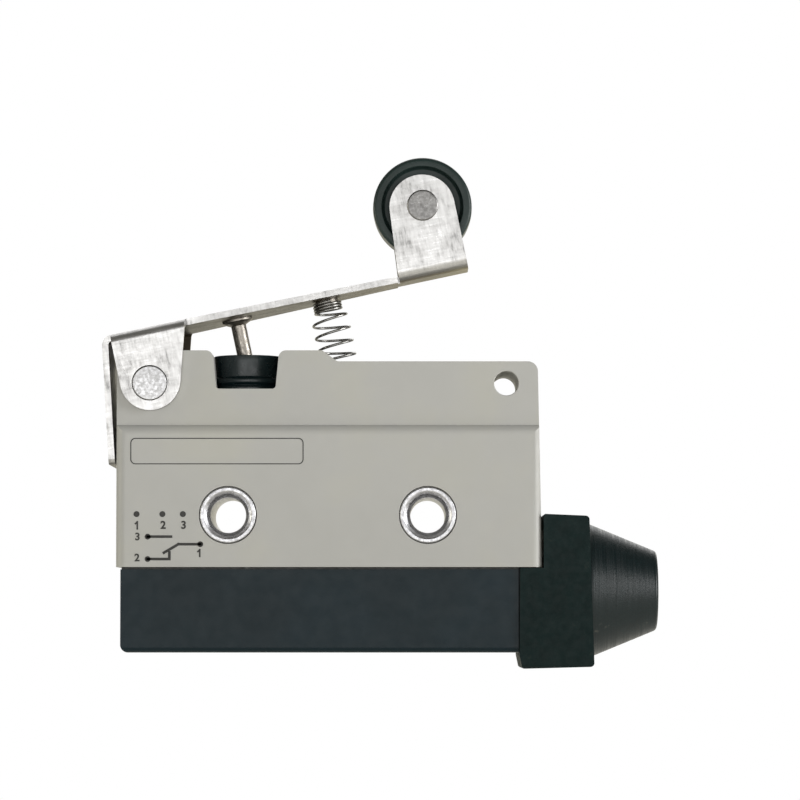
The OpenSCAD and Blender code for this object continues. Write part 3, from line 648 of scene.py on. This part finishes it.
def pivot_hole(x):
    """A hole for the hinge pin, with a broken edge where it meets the thin upper part."""
    face, r = MID_Y - UPPER_HALF, PIVOT_HOLE_R
    return lathe("pivot_hole", [(0, FRONT_Y - 1), (r + 1.3, FRONT_Y - 1), (r + 0.14, face - 0.02),
                                (r + 0.03, face + 0.07), (r, face + 0.14), (r, MID_Y + 1), (0, MID_Y + 1)],
                 (x, 0, PIVOT.z), "Y")


def make_front_half():
    half = prism("case_front", case_outline(), FRONT_Y - 1, MID_Y)
    keep_common(half,
                prism("section", case_section(), CASE_LOW.x - 1, CASE_HIGH.x + 1, "X"),
                prism("plan", case_plan(), CASE_LOW.z - 1, CASE_HIGH.z + 1, "Z"))
    cut(half, post("seal_bore", SEAL.x, MID_Y, SEAL_BORE_R, NOTCH_Z, 30))
    cut(half, post("spring_well", WELL_X, MID_Y, WELL_R, WELL_FLOOR, 30))
    round_edges(half, 0.22, 4)
    for hole in HOLES:
        cut(half, mounting_hole(hole.x, hole.z))
    for x in (-PIVOT.x, PIVOT.x):
        cut(half, pivot_hole(x))
    hollow_chamber(half)
    weigh_normals(half)
    return half


def hollow_chamber(half):
    """Cuts the contact chamber, leaving the bosses round the mounting holes and the guide rib."""
    chamber = block("chamber", (-CHAMBER_END, MID_Y - CHAMBER_DEPTH, CASE_LOW.z - 1),
                    (CHAMBER_END, MID_Y + 1, CHAMBER_TOP))
    for hole in HOLES:
        cut(chamber, rod("boss", hole.x, hole.z, BOSS_R, FRONT_Y, MID_Y + 2))
    cut(chamber,
        block("rib", (SEAL.x - RIB_HALF, FRONT_Y, RIB_LOW), (SEAL.x + RIB_HALF, MID_Y + 2, RIB_HIGH)))
    cut(half, chamber)
    cut(half,
        post("guide", SEAL.x, MID_Y, GUIDE_R, 10, NOTCH_Z + 1),
        post("rib_hole", SEAL.x, MID_Y, RIB_HOLE_R, 7, 9.5))


def mirrored_half(half):
    """The back half: the front one mirrored about the parting plane."""
    back = half.copy()
    back.data = half.data.copy()
    back.name = "case_back"
    bpy.context.scene.collection.objects.link(back)
    flip = Matrix.Translation((0, 2 * MID_Y * MM, 0)) @ Matrix.Scale(-1, 4, (0, 1, 0))
    back.data.transform(flip)
    back.data.flip_normals()
    weigh_normals(back)
    return back


def make_case():
    front = make_front_half()
    back = mirrored_half(front)
    finish_piece(front, "case_plastic", "case", "housing_front")
    finish_piece(back, "case_plastic", "case", "housing_back")


def make_eyelets():
    """Rolled eyelets: a flared mouth, a proud rounded lip and a plain tube."""
    half = (BACK_Y - FRONT_Y) / 2
    for name, hole in zip(("eyelet_left", "eyelet_right"), HOLES):
        mouth = fillet([(EYELET_BORE_R, 0), (EYELET_BORE_R, -half + 1.55, 0.9), (2.62, -half + 0.42, 0.5),
                        (3.02, -half, 0.28), (EYELET_LIP_R - 0.02, -half, 0.2),
                        (EYELET_LIP_R, -half + 0.62, 0.1), (EYELET_TUBE_R + 0.01, -half + 0.68, 0.05),
                        (EYELET_TUBE_R, 0)], closed=False)
        profile = mouth + [Vector((r, -h)) for r, h in reversed(mouth)][1:-1]
        piece = lathe(name + "_shown", profile, (hole.x, MID_Y, hole.z), "Y", closed=True)
        smooth(piece, 50)
        finish_piece(piece, "eyelet_metal", "case", name)


# ---------------------------------------------------------------- lever


def lever_matrix():
    """From the lever's own drawing, arm level and pivot at the origin, to its place."""
    return Matrix.Translation(PIVOT) @ Matrix.Rotation(-SLOPE, 4, "Y")


def arc_points(cx, cy, r, start, end, steps=18):
    return [(cx + r * math.cos(math.radians(a)), cy + r * math.sin(math.radians(a)))
            for a in (start + (end - start) * k / steps for k in range(steps + 1))]


def blank_half():
    """Half of the flat blank, from the stop tab's end to the arm's tip, as (along the arm, across it)."""
    ear_start, fork_start = EAR_HALF - EAR_BEND_R, FORK_HALF - FORK_BEND_R
    bend = EAR_BEND_R * math.pi / 2
    ear_zero = ear_start + bend + PLATE - EAR_BEND_R
    fork_base = fork_start + FORK_BEND_R * math.pi / 2
    fork_centre = fork_base + FORK_CENTRE.y - PLATE - FORK_BEND_R
    tab_end = TAB_START - TAB_BEND_R * (math.pi / 2 - TAB_LEAN) - TAB_LENGTH
    corner = Vector((EAR_REACH, ARM_TOP)) - EAR_CENTRE
    touch = math.degrees(math.atan2(corner.y, corner.x) - math.acos(EAR_R / corner.length))
    ear = [(x, ear_zero - z) for x, z in arc_points(*EAR_CENTRE, EAR_R, 180, 360 + touch, 28)]
    cx = FORK_CENTRE.x
    left, right = cx - FORK_R - FORK_FOOT, cx + FORK_R
    fork = [(x, fork_centre + z) for x, z in arc_points(cx, 0, FORK_R, 180, 0, 30)]
    notch = fork_start - 0.15
    return (fillet([(tab_end, 0), (tab_end, TAB_HALF, 0.8), (EAR_LEFT, TAB_HALF, 0)], closed=False)
            + [(EAR_LEFT, ear_start)] + ear + [(EAR_REACH - 0.33, ear_start + bend), (EAR_REACH, ear_start)]
            + [(EAR_REACH + 0.1, TAB_HALF), tuple(ARM_WIDE), (ARM_NARROW_X, FORK_HALF + SHEET / 2),
               (left - 0.25, FORK_HALF + SHEET / 2 - 0.02), (left - 0.25, notch), (left, notch),
               (left, fork_base)]
            + fork + [(right, notch), (right, 0)])


def fold(x, y):
    """Where a point of the blank goes when the sheet is bent."""
    across, side = abs(y), math.copysign(1, y)
    if x < TAB_START:
        s = TAB_START - x
        turn = min(s / TAB_BEND_R, math.pi / 2 - TAB_LEAN)
        rest = s - turn * TAB_BEND_R
        return (TAB_START - TAB_BEND_R * math.sin(turn) - rest * math.cos(turn), y,
                PLATE - TAB_BEND_R * (1 - math.cos(turn)) - rest * math.sin(turn))
    for half, r, direction, inside in ((EAR_HALF, EAR_BEND_R, -1, x < EAR_REACH + 0.05),
                                       (FORK_HALF, FORK_BEND_R, 1, x > FORK_FROM)):
        start = half - r
        if inside and across > start:
            turn = min((across - start) / r, math.pi / 2)
            rest = across - start - turn * r
            return (x, side * (start + r * math.sin(turn)),
                    PLATE + direction * (r * (1 - math.cos(turn)) + rest))
    return (x, y, PLATE)


def make_lever():
    half = blank_half()
    outline = half[1:-1] + [(x, -y) for x, y in reversed(half[1:-1])]
    bm = bmesh.new()
    bm.faces.new([bm.verts.new((x, y, 0)) for x, y in outline])
    steps = 8
    cuts = [((0, side * (half - r + r * math.pi / 2 * k / steps), 0), (0, 1, 0))
            for half, r in ((EAR_HALF, EAR_BEND_R), (FORK_HALF, FORK_BEND_R))
            for side in (-1, 1) for k in range(steps + 1)]
    tab = TAB_BEND_R * (math.pi / 2 - TAB_LEAN)
    cuts += [((TAB_START - tab * k / steps, 0, 0), (1, 0, 0)) for k in range(steps + 1)]
    cuts += [((x, 0, 0), (1, 0, 0)) for x in (EAR_REACH + 0.05, FORK_FROM)]
    for point, normal in cuts:
        everything = bm.verts[:] + bm.edges[:] + bm.faces[:]
        bmesh.ops.bisect_plane(bm, geom=everything, plane_co=point, plane_no=normal)
    for v in bm.verts:
        v.co = fold(v.co.x, v.co.y)
    lever = to_object("lever_shown", bm, lever_matrix())
    apply(lever, "SOLIDIFY", thickness=SHEET * MM, offset=0, use_even_offset=True)
    place = lever_matrix()
    for x, z, r in ((0, 0, PIN_HEAD_R + 0.07), (AXLE_IN_LEVER.x, AXLE_IN_LEVER.y, AXLE_R + 0.02)):
        cut(lever, lathe("hole", [(0, -12), (r, -12), (r, 12), (0, 12)], (x, 0, z), "Y", matrix=place))
    for x in (PUSH_X, STUD_X):
        cut(lever, lathe("hole", [(0, 4), (PUSH_R, 4), (PUSH_R, 9), (0, 9)], (x, 0, 0), "Z", matrix=place))
    round_edges(lever, 0.2, 3, 35)
    weigh_normals(lever)
    finish_piece(lever, "lever_sheet", "lever", "lever")


def make_lever_fittings():
    place = lever_matrix()
    under = ARM_TOP - SHEET
    edge = EAR_HALF + SHEET / 2
    pin = fillet([(0, -edge + 0.02), (PIN_HEAD_R, -edge + 0.02, 0.16), (PIN_HEAD_R, -edge + SHEET),
                  (PIN_R, -edge + SHEET), (PIN_R, edge - SHEET), (PIN_HEAD_R, edge - SHEET),
                  (PIN_HEAD_R, edge - 0.02, 0.16), (0, edge - 0.02)], closed=False)
    riveted = [(PUSH_R, under), (PUSH_R, ARM_TOP), (1.65, ARM_TOP), (1.5, ARM_TOP + 0.25, 0.12),
               (0, ARM_TOP + 0.34)]
    push = fillet([(0, PUSH_TIP), (PUSH_R, PUSH_TIP, 0.45), (PUSH_R, under - 0.85, 0.15),
                   (1.72, under - 0.5, 0.1), (1.97, under - 0.3, 0.1), (1.97, under, 0.05)] + riveted,
                  closed=False)
    stud = fillet([(0, under - STUD_L), (STUD_R, under - STUD_L, 0.3), (STUD_R, under, 0.05)] + riveted,
                  closed=False)
    fork = FORK_HALF + SHEET / 2
    head = fork + 0.38
    axle = fillet([(0, -head + 0.04), (1.2, -head), (AXLE_HEAD_R, -head, 0.22), (AXLE_HEAD_R, -fork, 0.04),
                   (AXLE_R, -fork), (AXLE_R, fork), (AXLE_HEAD_R, fork, 0.04), (AXLE_HEAD_R, head, 0.22),
                   (1.2, head), (0, head - 0.04)], closed=False)
    for name, profile, at, axis, material in (
            ("hinge_pin", pin, (0, 0, 0), "Y", "hinge_metal"),
            ("push_pin", push, (PUSH_X, 0, 0), "Z", "pin_metal"),
            ("spring_stud", stud, (STUD_X, 0, 0), "Z", "pin_metal"),
            ("roller_axle", axle, (AXLE_IN_LEVER.x, 0, AXLE_IN_LEVER.y), "Y", "axle_metal")):
        piece = lathe(name + "_shown", profile, at, axis, matrix=place)
        smooth(piece, 50)
        finish_piece(piece, material, "lever", name, slot="pin_metal")


def make_roller():
    r, w, floor = ROLLER_R, ROLLER_HALF, ROLLER_HALF - DISH
    half = fillet([(ROLLER_BORE_R, 0), (ROLLER_BORE_R + 0.01, HUB_HALF, 0.1), (2.6, HUB_HALF, 0.12),
                   (2.7, floor, 0.2), (r - RIM - 0.25, floor, 0.3), (r - RIM, w, 0.15), (r - 0.05, w, 0.5),
                   (r, 0)], closed=False)
    profile = half + [Vector((a, -h)) for a, h in reversed(half)][1:-1]
    piece = lathe("roller_shown", profile, AXLE, "Y", closed=True, segments=128)
    smooth(piece, 45)
    finish_piece(piece, "roller_plastic", "roller", "roller")


# ---------------------------------------------------------------- springs


def coil(foot, head, wide, narrow, foot_end, middle_turns, head_end, lean, phase, steps=48):
    """Points along a coil spring: closed foot, open turns and a closed, narrower head that leans.

    foot_end and head_end are (turns, height)."""
    reach = (head - foot).length
    turns = foot_end[0] + middle_turns + head_end[0]
    middle = reach - foot_end[1] - head_end[1]
    path = []
    for i in range(round(turns * steps) + 1):
        t = i / steps
        if t < foot_end[0]:
            h = foot_end[1] * t / foot_end[0]
        elif t < foot_end[0] + middle_turns:
            h = foot_end[1] + middle * (t - foot_end[0]) / middle_turns
        else:
            h = foot_end[1] + middle + head_end[1] * (t - foot_end[0] - middle_turns) / head_end[0]
        h /= reach
        closing = min(1, max(0, (t - turns + head_end[0] + 0.5) / 0.6))
        r = wide + (narrow - wide) * closing
        turn, tilt = 2 * math.pi * t + phase, lean * (1 - (1 - h) ** 2)
        out = Vector((math.cos(turn) * math.cos(tilt), math.sin(turn), math.cos(turn) * math.sin(tilt)))
        path.append(foot + (head - foot) * h + r * out)
    return path


def make_return_spring():
    seat = ARM_TOP - SHEET - SPRING_WIRE_R - 0.08
    head = lever_matrix() @ Vector((STUD_X, 0, seat))
    foot = Vector((SPRING_FOOT_X, MID_Y, SPRING_FOOT_Z + SPRING_WIRE_R))
    path = coil(foot, head, SPRING_R, SPRING_HEAD_R, (1.2, 0.5), 5.85, (3.4, 1.25), SLOPE, SPRING_PHASE)
    spring = tube("return_spring_shown", path, SPRING_WIRE_R)
    smooth(spring, 60)
    finish_piece(spring, "spring_wire", None, "return_spring")
    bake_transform(spring)


def make_overtravel_spring():
    low, high = box_mm("overtravel_spring")
    foot = Vector((SEAL.x, MID_Y, low.z + OVERTRAVEL_WIRE_R))
    head = Vector((SEAL.x, MID_Y, high.z - OVERTRAVEL_WIRE_R))
    path = coil(foot, head, OVERTRAVEL_R, OVERTRAVEL_R, (1, 0.3), 3, (1, 0.3), 0, 0)
    inner = tube("overtravel_spring_shown", path, OVERTRAVEL_WIRE_R, 10)
    smooth(inner, 60)
    finish_piece(inner, "spring_wire", None, "overtravel_spring")
    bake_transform(inner)


# ---------------------------------------------------------------- seal, cover and boot


def make_seal():
    """A round cap: a flange in the case's bore, a proud bead and a plain body with the pin's hole."""
    r, low, high = SEAL_R, SEAL_LOW.z, SEAL_HIGH.z
    profile = fillet([
        (3.4, low), (r - 0.05, low, 0.2), (r - 0.05, low + 0.5, 0.2), (r - 0.42, low + 0.66, 0.06),
        (r - 0.3, low + 0.78, 0.06), (r, low + 1.0, 0.3), (r, low + 1.5, 0.35), (r - 0.4, low + 1.78, 0.2),
        (r - 0.36, high - 0.4, 2.0), (r - 0.2, high, 0.08), (2.0, high, 0.3), (1.75, high - 0.2, 0.2),
        (SEAL_HOLE_R, high - 0.3, 0.1), (SEAL_HOLE_R, high - 1.2), (2.6, high - 1.2), (3.4, high - 2.0)])
    piece = lathe("seal_shown", profile, (SEAL.x, MID_Y, 0), "Z", closed=True, segments=128)
    smooth(piece, 50)
    finish_piece(piece, "seal_rubber", "case", "plunger_seal")


def rounded_section(half, low, high, radius):
    """A section across the switch, rounded at its two lower corners."""
    return fillet([(MID_Y - half, high), (MID_Y - half, low, radius), (MID_Y + half, low, radius),
                   (MID_Y + half, high)])


def make_cover():
    left, bottom, top = COVER_LOW.x, COVER_LOW.z, CASE_LOW.z - 0.3
    inner_left, inner_bottom, neck_left = left + COVER_WALL, bottom + COVER_WALL, CASE_HIGH.x + 0.25
    tray = prism("cover_shown",
                 fillet([(left, top), (left, bottom, 1.0), (TRAY_END, bottom), (TRAY_END, top)]),
                 MID_Y - COVER_HALF - 1, MID_Y + COVER_HALF + 1)
    section = rounded_section(COVER_HALF, bottom, top + 1, 0.7)
    keep_common(tray, prism("section", section, left - 1, TRAY_END + 1, "X"))
    round_edges(tray, 0.5, 4)
    join(tray,
         block("throat", (TRAY_END - 0.6, MID_Y - NECK_HALF, bottom + 0.02),
               (COVER_HIGH.x, MID_Y + NECK_HALF, top - 0.02)),
         block("neck", (neck_left, MID_Y - NECK_HALF, bottom + 0.02),
               (COVER_HIGH.x, MID_Y + NECK_HALF, COVER_HIGH.z)))
    hollows = (
        ("tray", inner_left, TRAY_END - 1.4, COVER_HALF - COVER_WALL, inner_bottom, 0),
        ("under_case", inner_left, 26.0, NECK_INSIDE, inner_bottom, 0),
        ("block_seat", inner_left, CHAMBER_END, BLOCK_SEAT_HALF, BLOCK_SEAT_Z, 0),
        ("throat_hollow", inner_left, COVER_HIGH.x + 1, NECK_INSIDE, inner_bottom, top - COVER_WALL),
        ("neck_hollow", neck_left + COVER_WALL, COVER_HIGH.x + 1, NECK_INSIDE, inner_bottom,
         COVER_HIGH.z - COVER_WALL))
    for name, start, end, half, low, high in hollows:
        cut(tray, block(name, (start, MID_Y - half, low), (end, MID_Y + half, high)))
    weigh_normals(tray)
    finish_piece(tray, "cover_plastic", "case", "terminal_cover")


def nose_profile():
    """The boot's nose from the collar to the tip, with shallow rings."""
    base, tip, start, end = NOSE_BASE_R, NOSE_TIP_R, NOSE_START, BOOT_HIGH.x
    cone = []
    for k in range(NOSE_RINGS * 2 + 1):
        t = k / (NOSE_RINGS * 2)
        groove = RING_DEPTH if k % 2 else 0
        cone.append(Vector((base + (tip - base) * t - groove, start + 0.35 + (end - 0.75 - start) * t)))
    lip = fillet([cone[-1], (tip + 0.02, end - 0.12, 0.5), (tip - 0.7, end, 0.35), (CABLE_R + 0.35, end, 0.2),
                  (CABLE_R, end - 0.35, 0.1), (CABLE_R, GRIP_START)], closed=False)
    return [Vector((0, start - 1)), Vector((base, start - 1))] + cone + lip[1:] + [Vector((0, GRIP_START))]


def cable_way(*mouth):
    """The flared hole that leads the cable out, from its mouth to the tip."""
    profile = [(0, mouth[0][1]), *mouth, (CABLE_R, GRIP_START), (CABLE_R, 50), (0, 50)]
    return lathe("flare", profile, (0, MID_Y, NOSE_Z), "X")


def make_collar():
    left, low, high = BOOT_LOW.x + 0.1, BOOT_LOW.z, BOOT_HIGH.z
    case_end, under = CASE_HIGH.x + 0.2, CASE_LOW.z - 0.12
    collar = prism("boot_shown", fillet([
        (left, under, 0.1), (left - 0.1, low + 1.7, 0.8), (left + 0.25, low, 0.35),
        (NOSE_START + 0.5, low + 0.25, 0.5), (NOSE_START - 0.1, high - 0.25, 0.5), (case_end, high, 0.25),
        (case_end, under)]), MID_Y - BOOT_HALF - 1, MID_Y + BOOT_HALF + 1)
    section = rounded_section(BOOT_HALF, low, high + 1, 0.7)
    keep_common(collar, prism("section", section, left - 2, NOSE_START + 2, "X"))
    round_edges(collar, 0.35, 4)
    neck, neck_low, neck_end = NECK_HALF + BOOT_FIT, COVER_LOW.z - BOOT_FIT, COVER_HIGH.x + 0.1
    cut(collar,
        block("tray_seat", (left - 2, MID_Y - neck, neck_low), (neck_end, MID_Y + neck, under + 0.6)),
        block("neck_seat", (CASE_HIGH.x, MID_Y - neck, neck_low),
              (neck_end, MID_Y + neck, COVER_HIGH.z + BOOT_FIT)),
        cable_way((6.0, COVER_HIGH.x)))
    weigh_normals(collar)
    finish_piece(collar, "boot_rubber", "case", "cable_boot")


def make_nose():
    nose = lathe("boot_nose", nose_profile(), (0, MID_Y, NOSE_Z), "X", segments=160)
    cut(nose, cable_way((6.6, NOSE_START - 3), (5.9, NOSE_START - 0.4)))
    smooth(nose, 55)
    finish_piece(nose, "nose_rubber", "case", slot="boot_rubber")


# ---------------------------------------------------------------- printing on the label face


def strip(name, points, width):
    """A printed line through points, with square joints."""
    pieces = []
    for a, b in zip(points, points[1:]):
        a, b = Vector(a), Vector(b)
        along = (b - a).normalized() * width / 2
        over = Vector((-along.y, along.x))
        outline = [a - along + over, a - along - over, b + along - over, b + along + over]
        pieces.append(prism(name, outline, FRONT_Y - INK, FRONT_Y + 0.05))
    return join(pieces[0], *pieces[1:])


def dot(name, x, z, r):
    return rod(name, x, z, r, FRONT_Y - INK, FRONT_Y + 0.05, 32)


def typed(name, text, x, z, height):
    """A digit set in the built-in type, standing on the label face."""
    curve = bpy.data.curves.new(name, "FONT")
    curve.body = text
    curve.size = height * TYPE_SIZE * MM
    curve.align_x = "CENTER"
    curve.align_y = "CENTER"
    curve.offset = 0.045 * MM
    curve.extrude = 0.035 * MM
    source = bpy.data.objects.new(name, curve)
    bpy.context.scene.collection.objects.link(source)
    bpy.context.view_layer.update()
    mesh = bpy.data.meshes.new_from_object(source.evaluated_get(bpy.context.evaluated_depsgraph_get()))
    bpy.data.objects.remove(source)
    piece = bpy.data.objects.new(name, mesh)
    bpy.context.scene.collection.objects.link(piece)
    depth = FRONT_Y - INK + 0.035
    mesh.transform(Matrix.Translation(Vector((x, depth, z)) * MM) @ Matrix.Rotation(math.pi / 2, 4, "X"))
    return piece


def one(name, x, z, height):
    """The digit 1: a stem with a short flag."""
    top = z + height / 2
    return strip(name, [(x, z - height / 2 + 0.06), (x, top - 0.05), (x - 0.24, top - 0.28)], 0.2)


def digit(name, text, x, z, height):
    return one(name, x, z, height) if text == "1" else typed(name, text, x, z, height)


def print_frame():
    """The thin frame round the empty type field."""
    left, right, low, high, line = -25.1, -3.1, 6.42, 9.78, 0.12
    outer = fillet([(left, low, 0.65), (right, low, 0.65), (right, high, 0.65), (left, high, 0.65)])
    inner = fillet([(left + line, low + line, 0.55), (right - line, low + line, 0.55),
                    (right - line, high - line, 0.55), (left + line, high - line, 0.55)])
    return cut(prism("print_frame", outer, FRONT_Y - INK, FRONT_Y + 0.05),
               prism("inner", inner, FRONT_Y - 1, FRONT_Y + 1))


def make_printing():
    """The frame, the numbered terminals and the contact diagram."""
    pieces = [print_frame()]
    for i, x in enumerate(TERMINAL_X):
        number = str(i + 1)
        pieces.append(dot("print_terminal_" + number, x, 0.1, 0.38))
        pieces.append(digit("print_number_" + number, number, x + 0.1, -1.33, 1.0))
    upper, blade, lower = (-22.86, -2.76), (-16.18, -3.72), (-22.86, -5.6)
    pieces.append(strip("print_upper_contact", [upper, (-19.9, upper[1])], STROKE))
    pieces.append(strip("print_blade", [blade, (-18.95, blade[1]), (-20.8, -4.8)], STROKE))
    pieces.append(strip("print_lower_contact", [lower, (-20.1, lower[1]), (-20.1, -4.75)], STROKE))
    for i, (x, z) in enumerate((upper, blade, lower)):
        pieces.append(dot(f"print_end_{i + 1}", x, z, 0.37))
    for text, x, z in (("1", -16.25, -4.85), ("3", -24.15, -2.8), ("2", -24.2, -5.46)):
        pieces.append(digit("print_mark_" + text, text, x, z, 0.95))
    for piece in pieces:
        finish_piece(piece, "ink", "case", slot="case_plastic")


# ---------------------------------------------------------------- carried-over nodes, stage and camera


def dress_nodes():
    """Gives every CAD node its material; those replaced above stay hidden."""
    slots = {s["node"]: s["material_slot"] for s in frame["record"]["subparts"]}
    for name, node in frame["nodes"].items():
        node.data.materials.clear()
        node.data.materials.append(MATERIALS[slots[name]])


def area_light(name, place, target, width, height, power, colour=(1, 1, 1)):
    data = bpy.data.lights.new(name, "AREA")
    data.shape = "RECTANGLE"
    data.size, data.size_y = width, height
    data.energy = power
    data.color = colour
    lamp = bpy.data.objects.new(name, data)
    bpy.context.scene.collection.objects.link(lamp)
    lamp.visible_camera = False
    lamp.location = place
    lamp.rotation_euler = (Vector(target) - Vector(place)).to_track_quat("-Z", "Y").to_euler()


def make_floor():
    """A plain pale tile under the switch, just below the main view."""
    left, right, front, back, level = -0.36, 0.38, -0.32, 0.16, -0.045
    corners = ((left, front), (right, front), (right, back), (left, back))
    outline = fillet([(x / MM, y / MM, 60) for x, y in corners])
    floor = prism("floor", outline, level / MM - 4, level / MM, "Z")
    f = Finish("floor_paint", (0.85, 0.83, 0.76), 0.8)
    f.feed("Base Color", f.colours(f.noise(0.02, 3), [(0.3, (0.84, 0.82, 0.75)), (0.7, (0.86, 0.84, 0.77))]))
    f.shader.inputs["Emission Color"].default_value = (1, 0.97, 0.88, 1)
    f.shader.inputs["Emission Strength"].default_value = 0.32
    floor.data.materials.append(f.material)


def make_world():
    """Pure white where the camera sees it, a dim warm light everywhere else."""
    world = bpy.data.worlds.new("studio")
    bpy.context.scene.world = world
    world.use_nodes = True
    nodes, links = world.node_tree.nodes, world.node_tree.links
    seen, lit = nodes["Background"], nodes.new("ShaderNodeBackground")
    seen.inputs["Color"].default_value = (1, 1, 1, 1)
    seen.inputs["Strength"].default_value = 1.0
    lit.inputs["Color"].default_value = (1.0, 0.97, 0.86, 1)
    lit.inputs["Strength"].default_value = 0.13
    mix, path = nodes.new("ShaderNodeMixShader"), nodes.new("ShaderNodeLightPath")
    links.new(path.outputs["Is Camera Ray"], mix.inputs["Fac"])
    links.new(lit.outputs["Background"], mix.inputs[1])
    links.new(seen.outputs["Background"], mix.inputs[2])
    links.new(mix.outputs["Shader"], nodes["World Output"].inputs["Surface"])


def make_lights():
    """A wide soft front light, one at each side, one above and two behind, the last seen by the bores."""
    middle = (0.005, -0.009, 0.008)
    area_light("front", (0.02, -0.95, -0.01), middle, 1.2, 0.38, 3.45)
    area_light("right", (0.8, -0.3, 0.1), middle, 0.5, 0.5, 6.4)
    area_light("left", (-0.85, -0.2, 0.0), middle, 0.35, 0.5, 2.6, (1.0, 0.96, 0.82))
    area_light("above", (-0.1, 0.45, 0.9), middle, 0.9, 0.6, 1.9)
    area_light("back", (0.0, 0.85, 0.45), middle, 1.2, 0.5, 3.0)
    area_light("backdrop", (0.0, 0.95, -0.03), middle, 1.6, 0.55, 1.9, (1.0, 0.95, 0.76))
    bpy.context.scene.view_settings.view_transform = "Standard"


def make_camera():
    """A long lens, square to the label face, from slightly below the middle."""
    x, look_z, eye_z, distance = 9.15, 14.6, -13.3, 500.0
    look = Vector((x, FRONT_Y, look_z)) * MM
    eye = Vector((x, FRONT_Y - distance, eye_z)) * MM
    data = bpy.data.cameras.new("camera")
    data.sensor_width = 36.0
    data.lens = 177.3
    data.clip_start, data.clip_end = 0.05, 20.0
    camera = bpy.data.objects.new("camera", data)
    bpy.context.scene.collection.objects.link(camera)
    camera.location = eye
    camera.rotation_euler = (look - eye).to_track_quat("-Z", "Y").to_euler()
    bpy.context.scene.camera = camera


make_camera()
make_floor()
make_world()
make_lights()
dress_nodes()
make_case()
make_eyelets()
make_lever()
make_lever_fittings()
make_roller()
make_return_spring()
make_overtravel_spring()
make_seal()
make_cover()
make_collar()
make_nose()
make_printing()
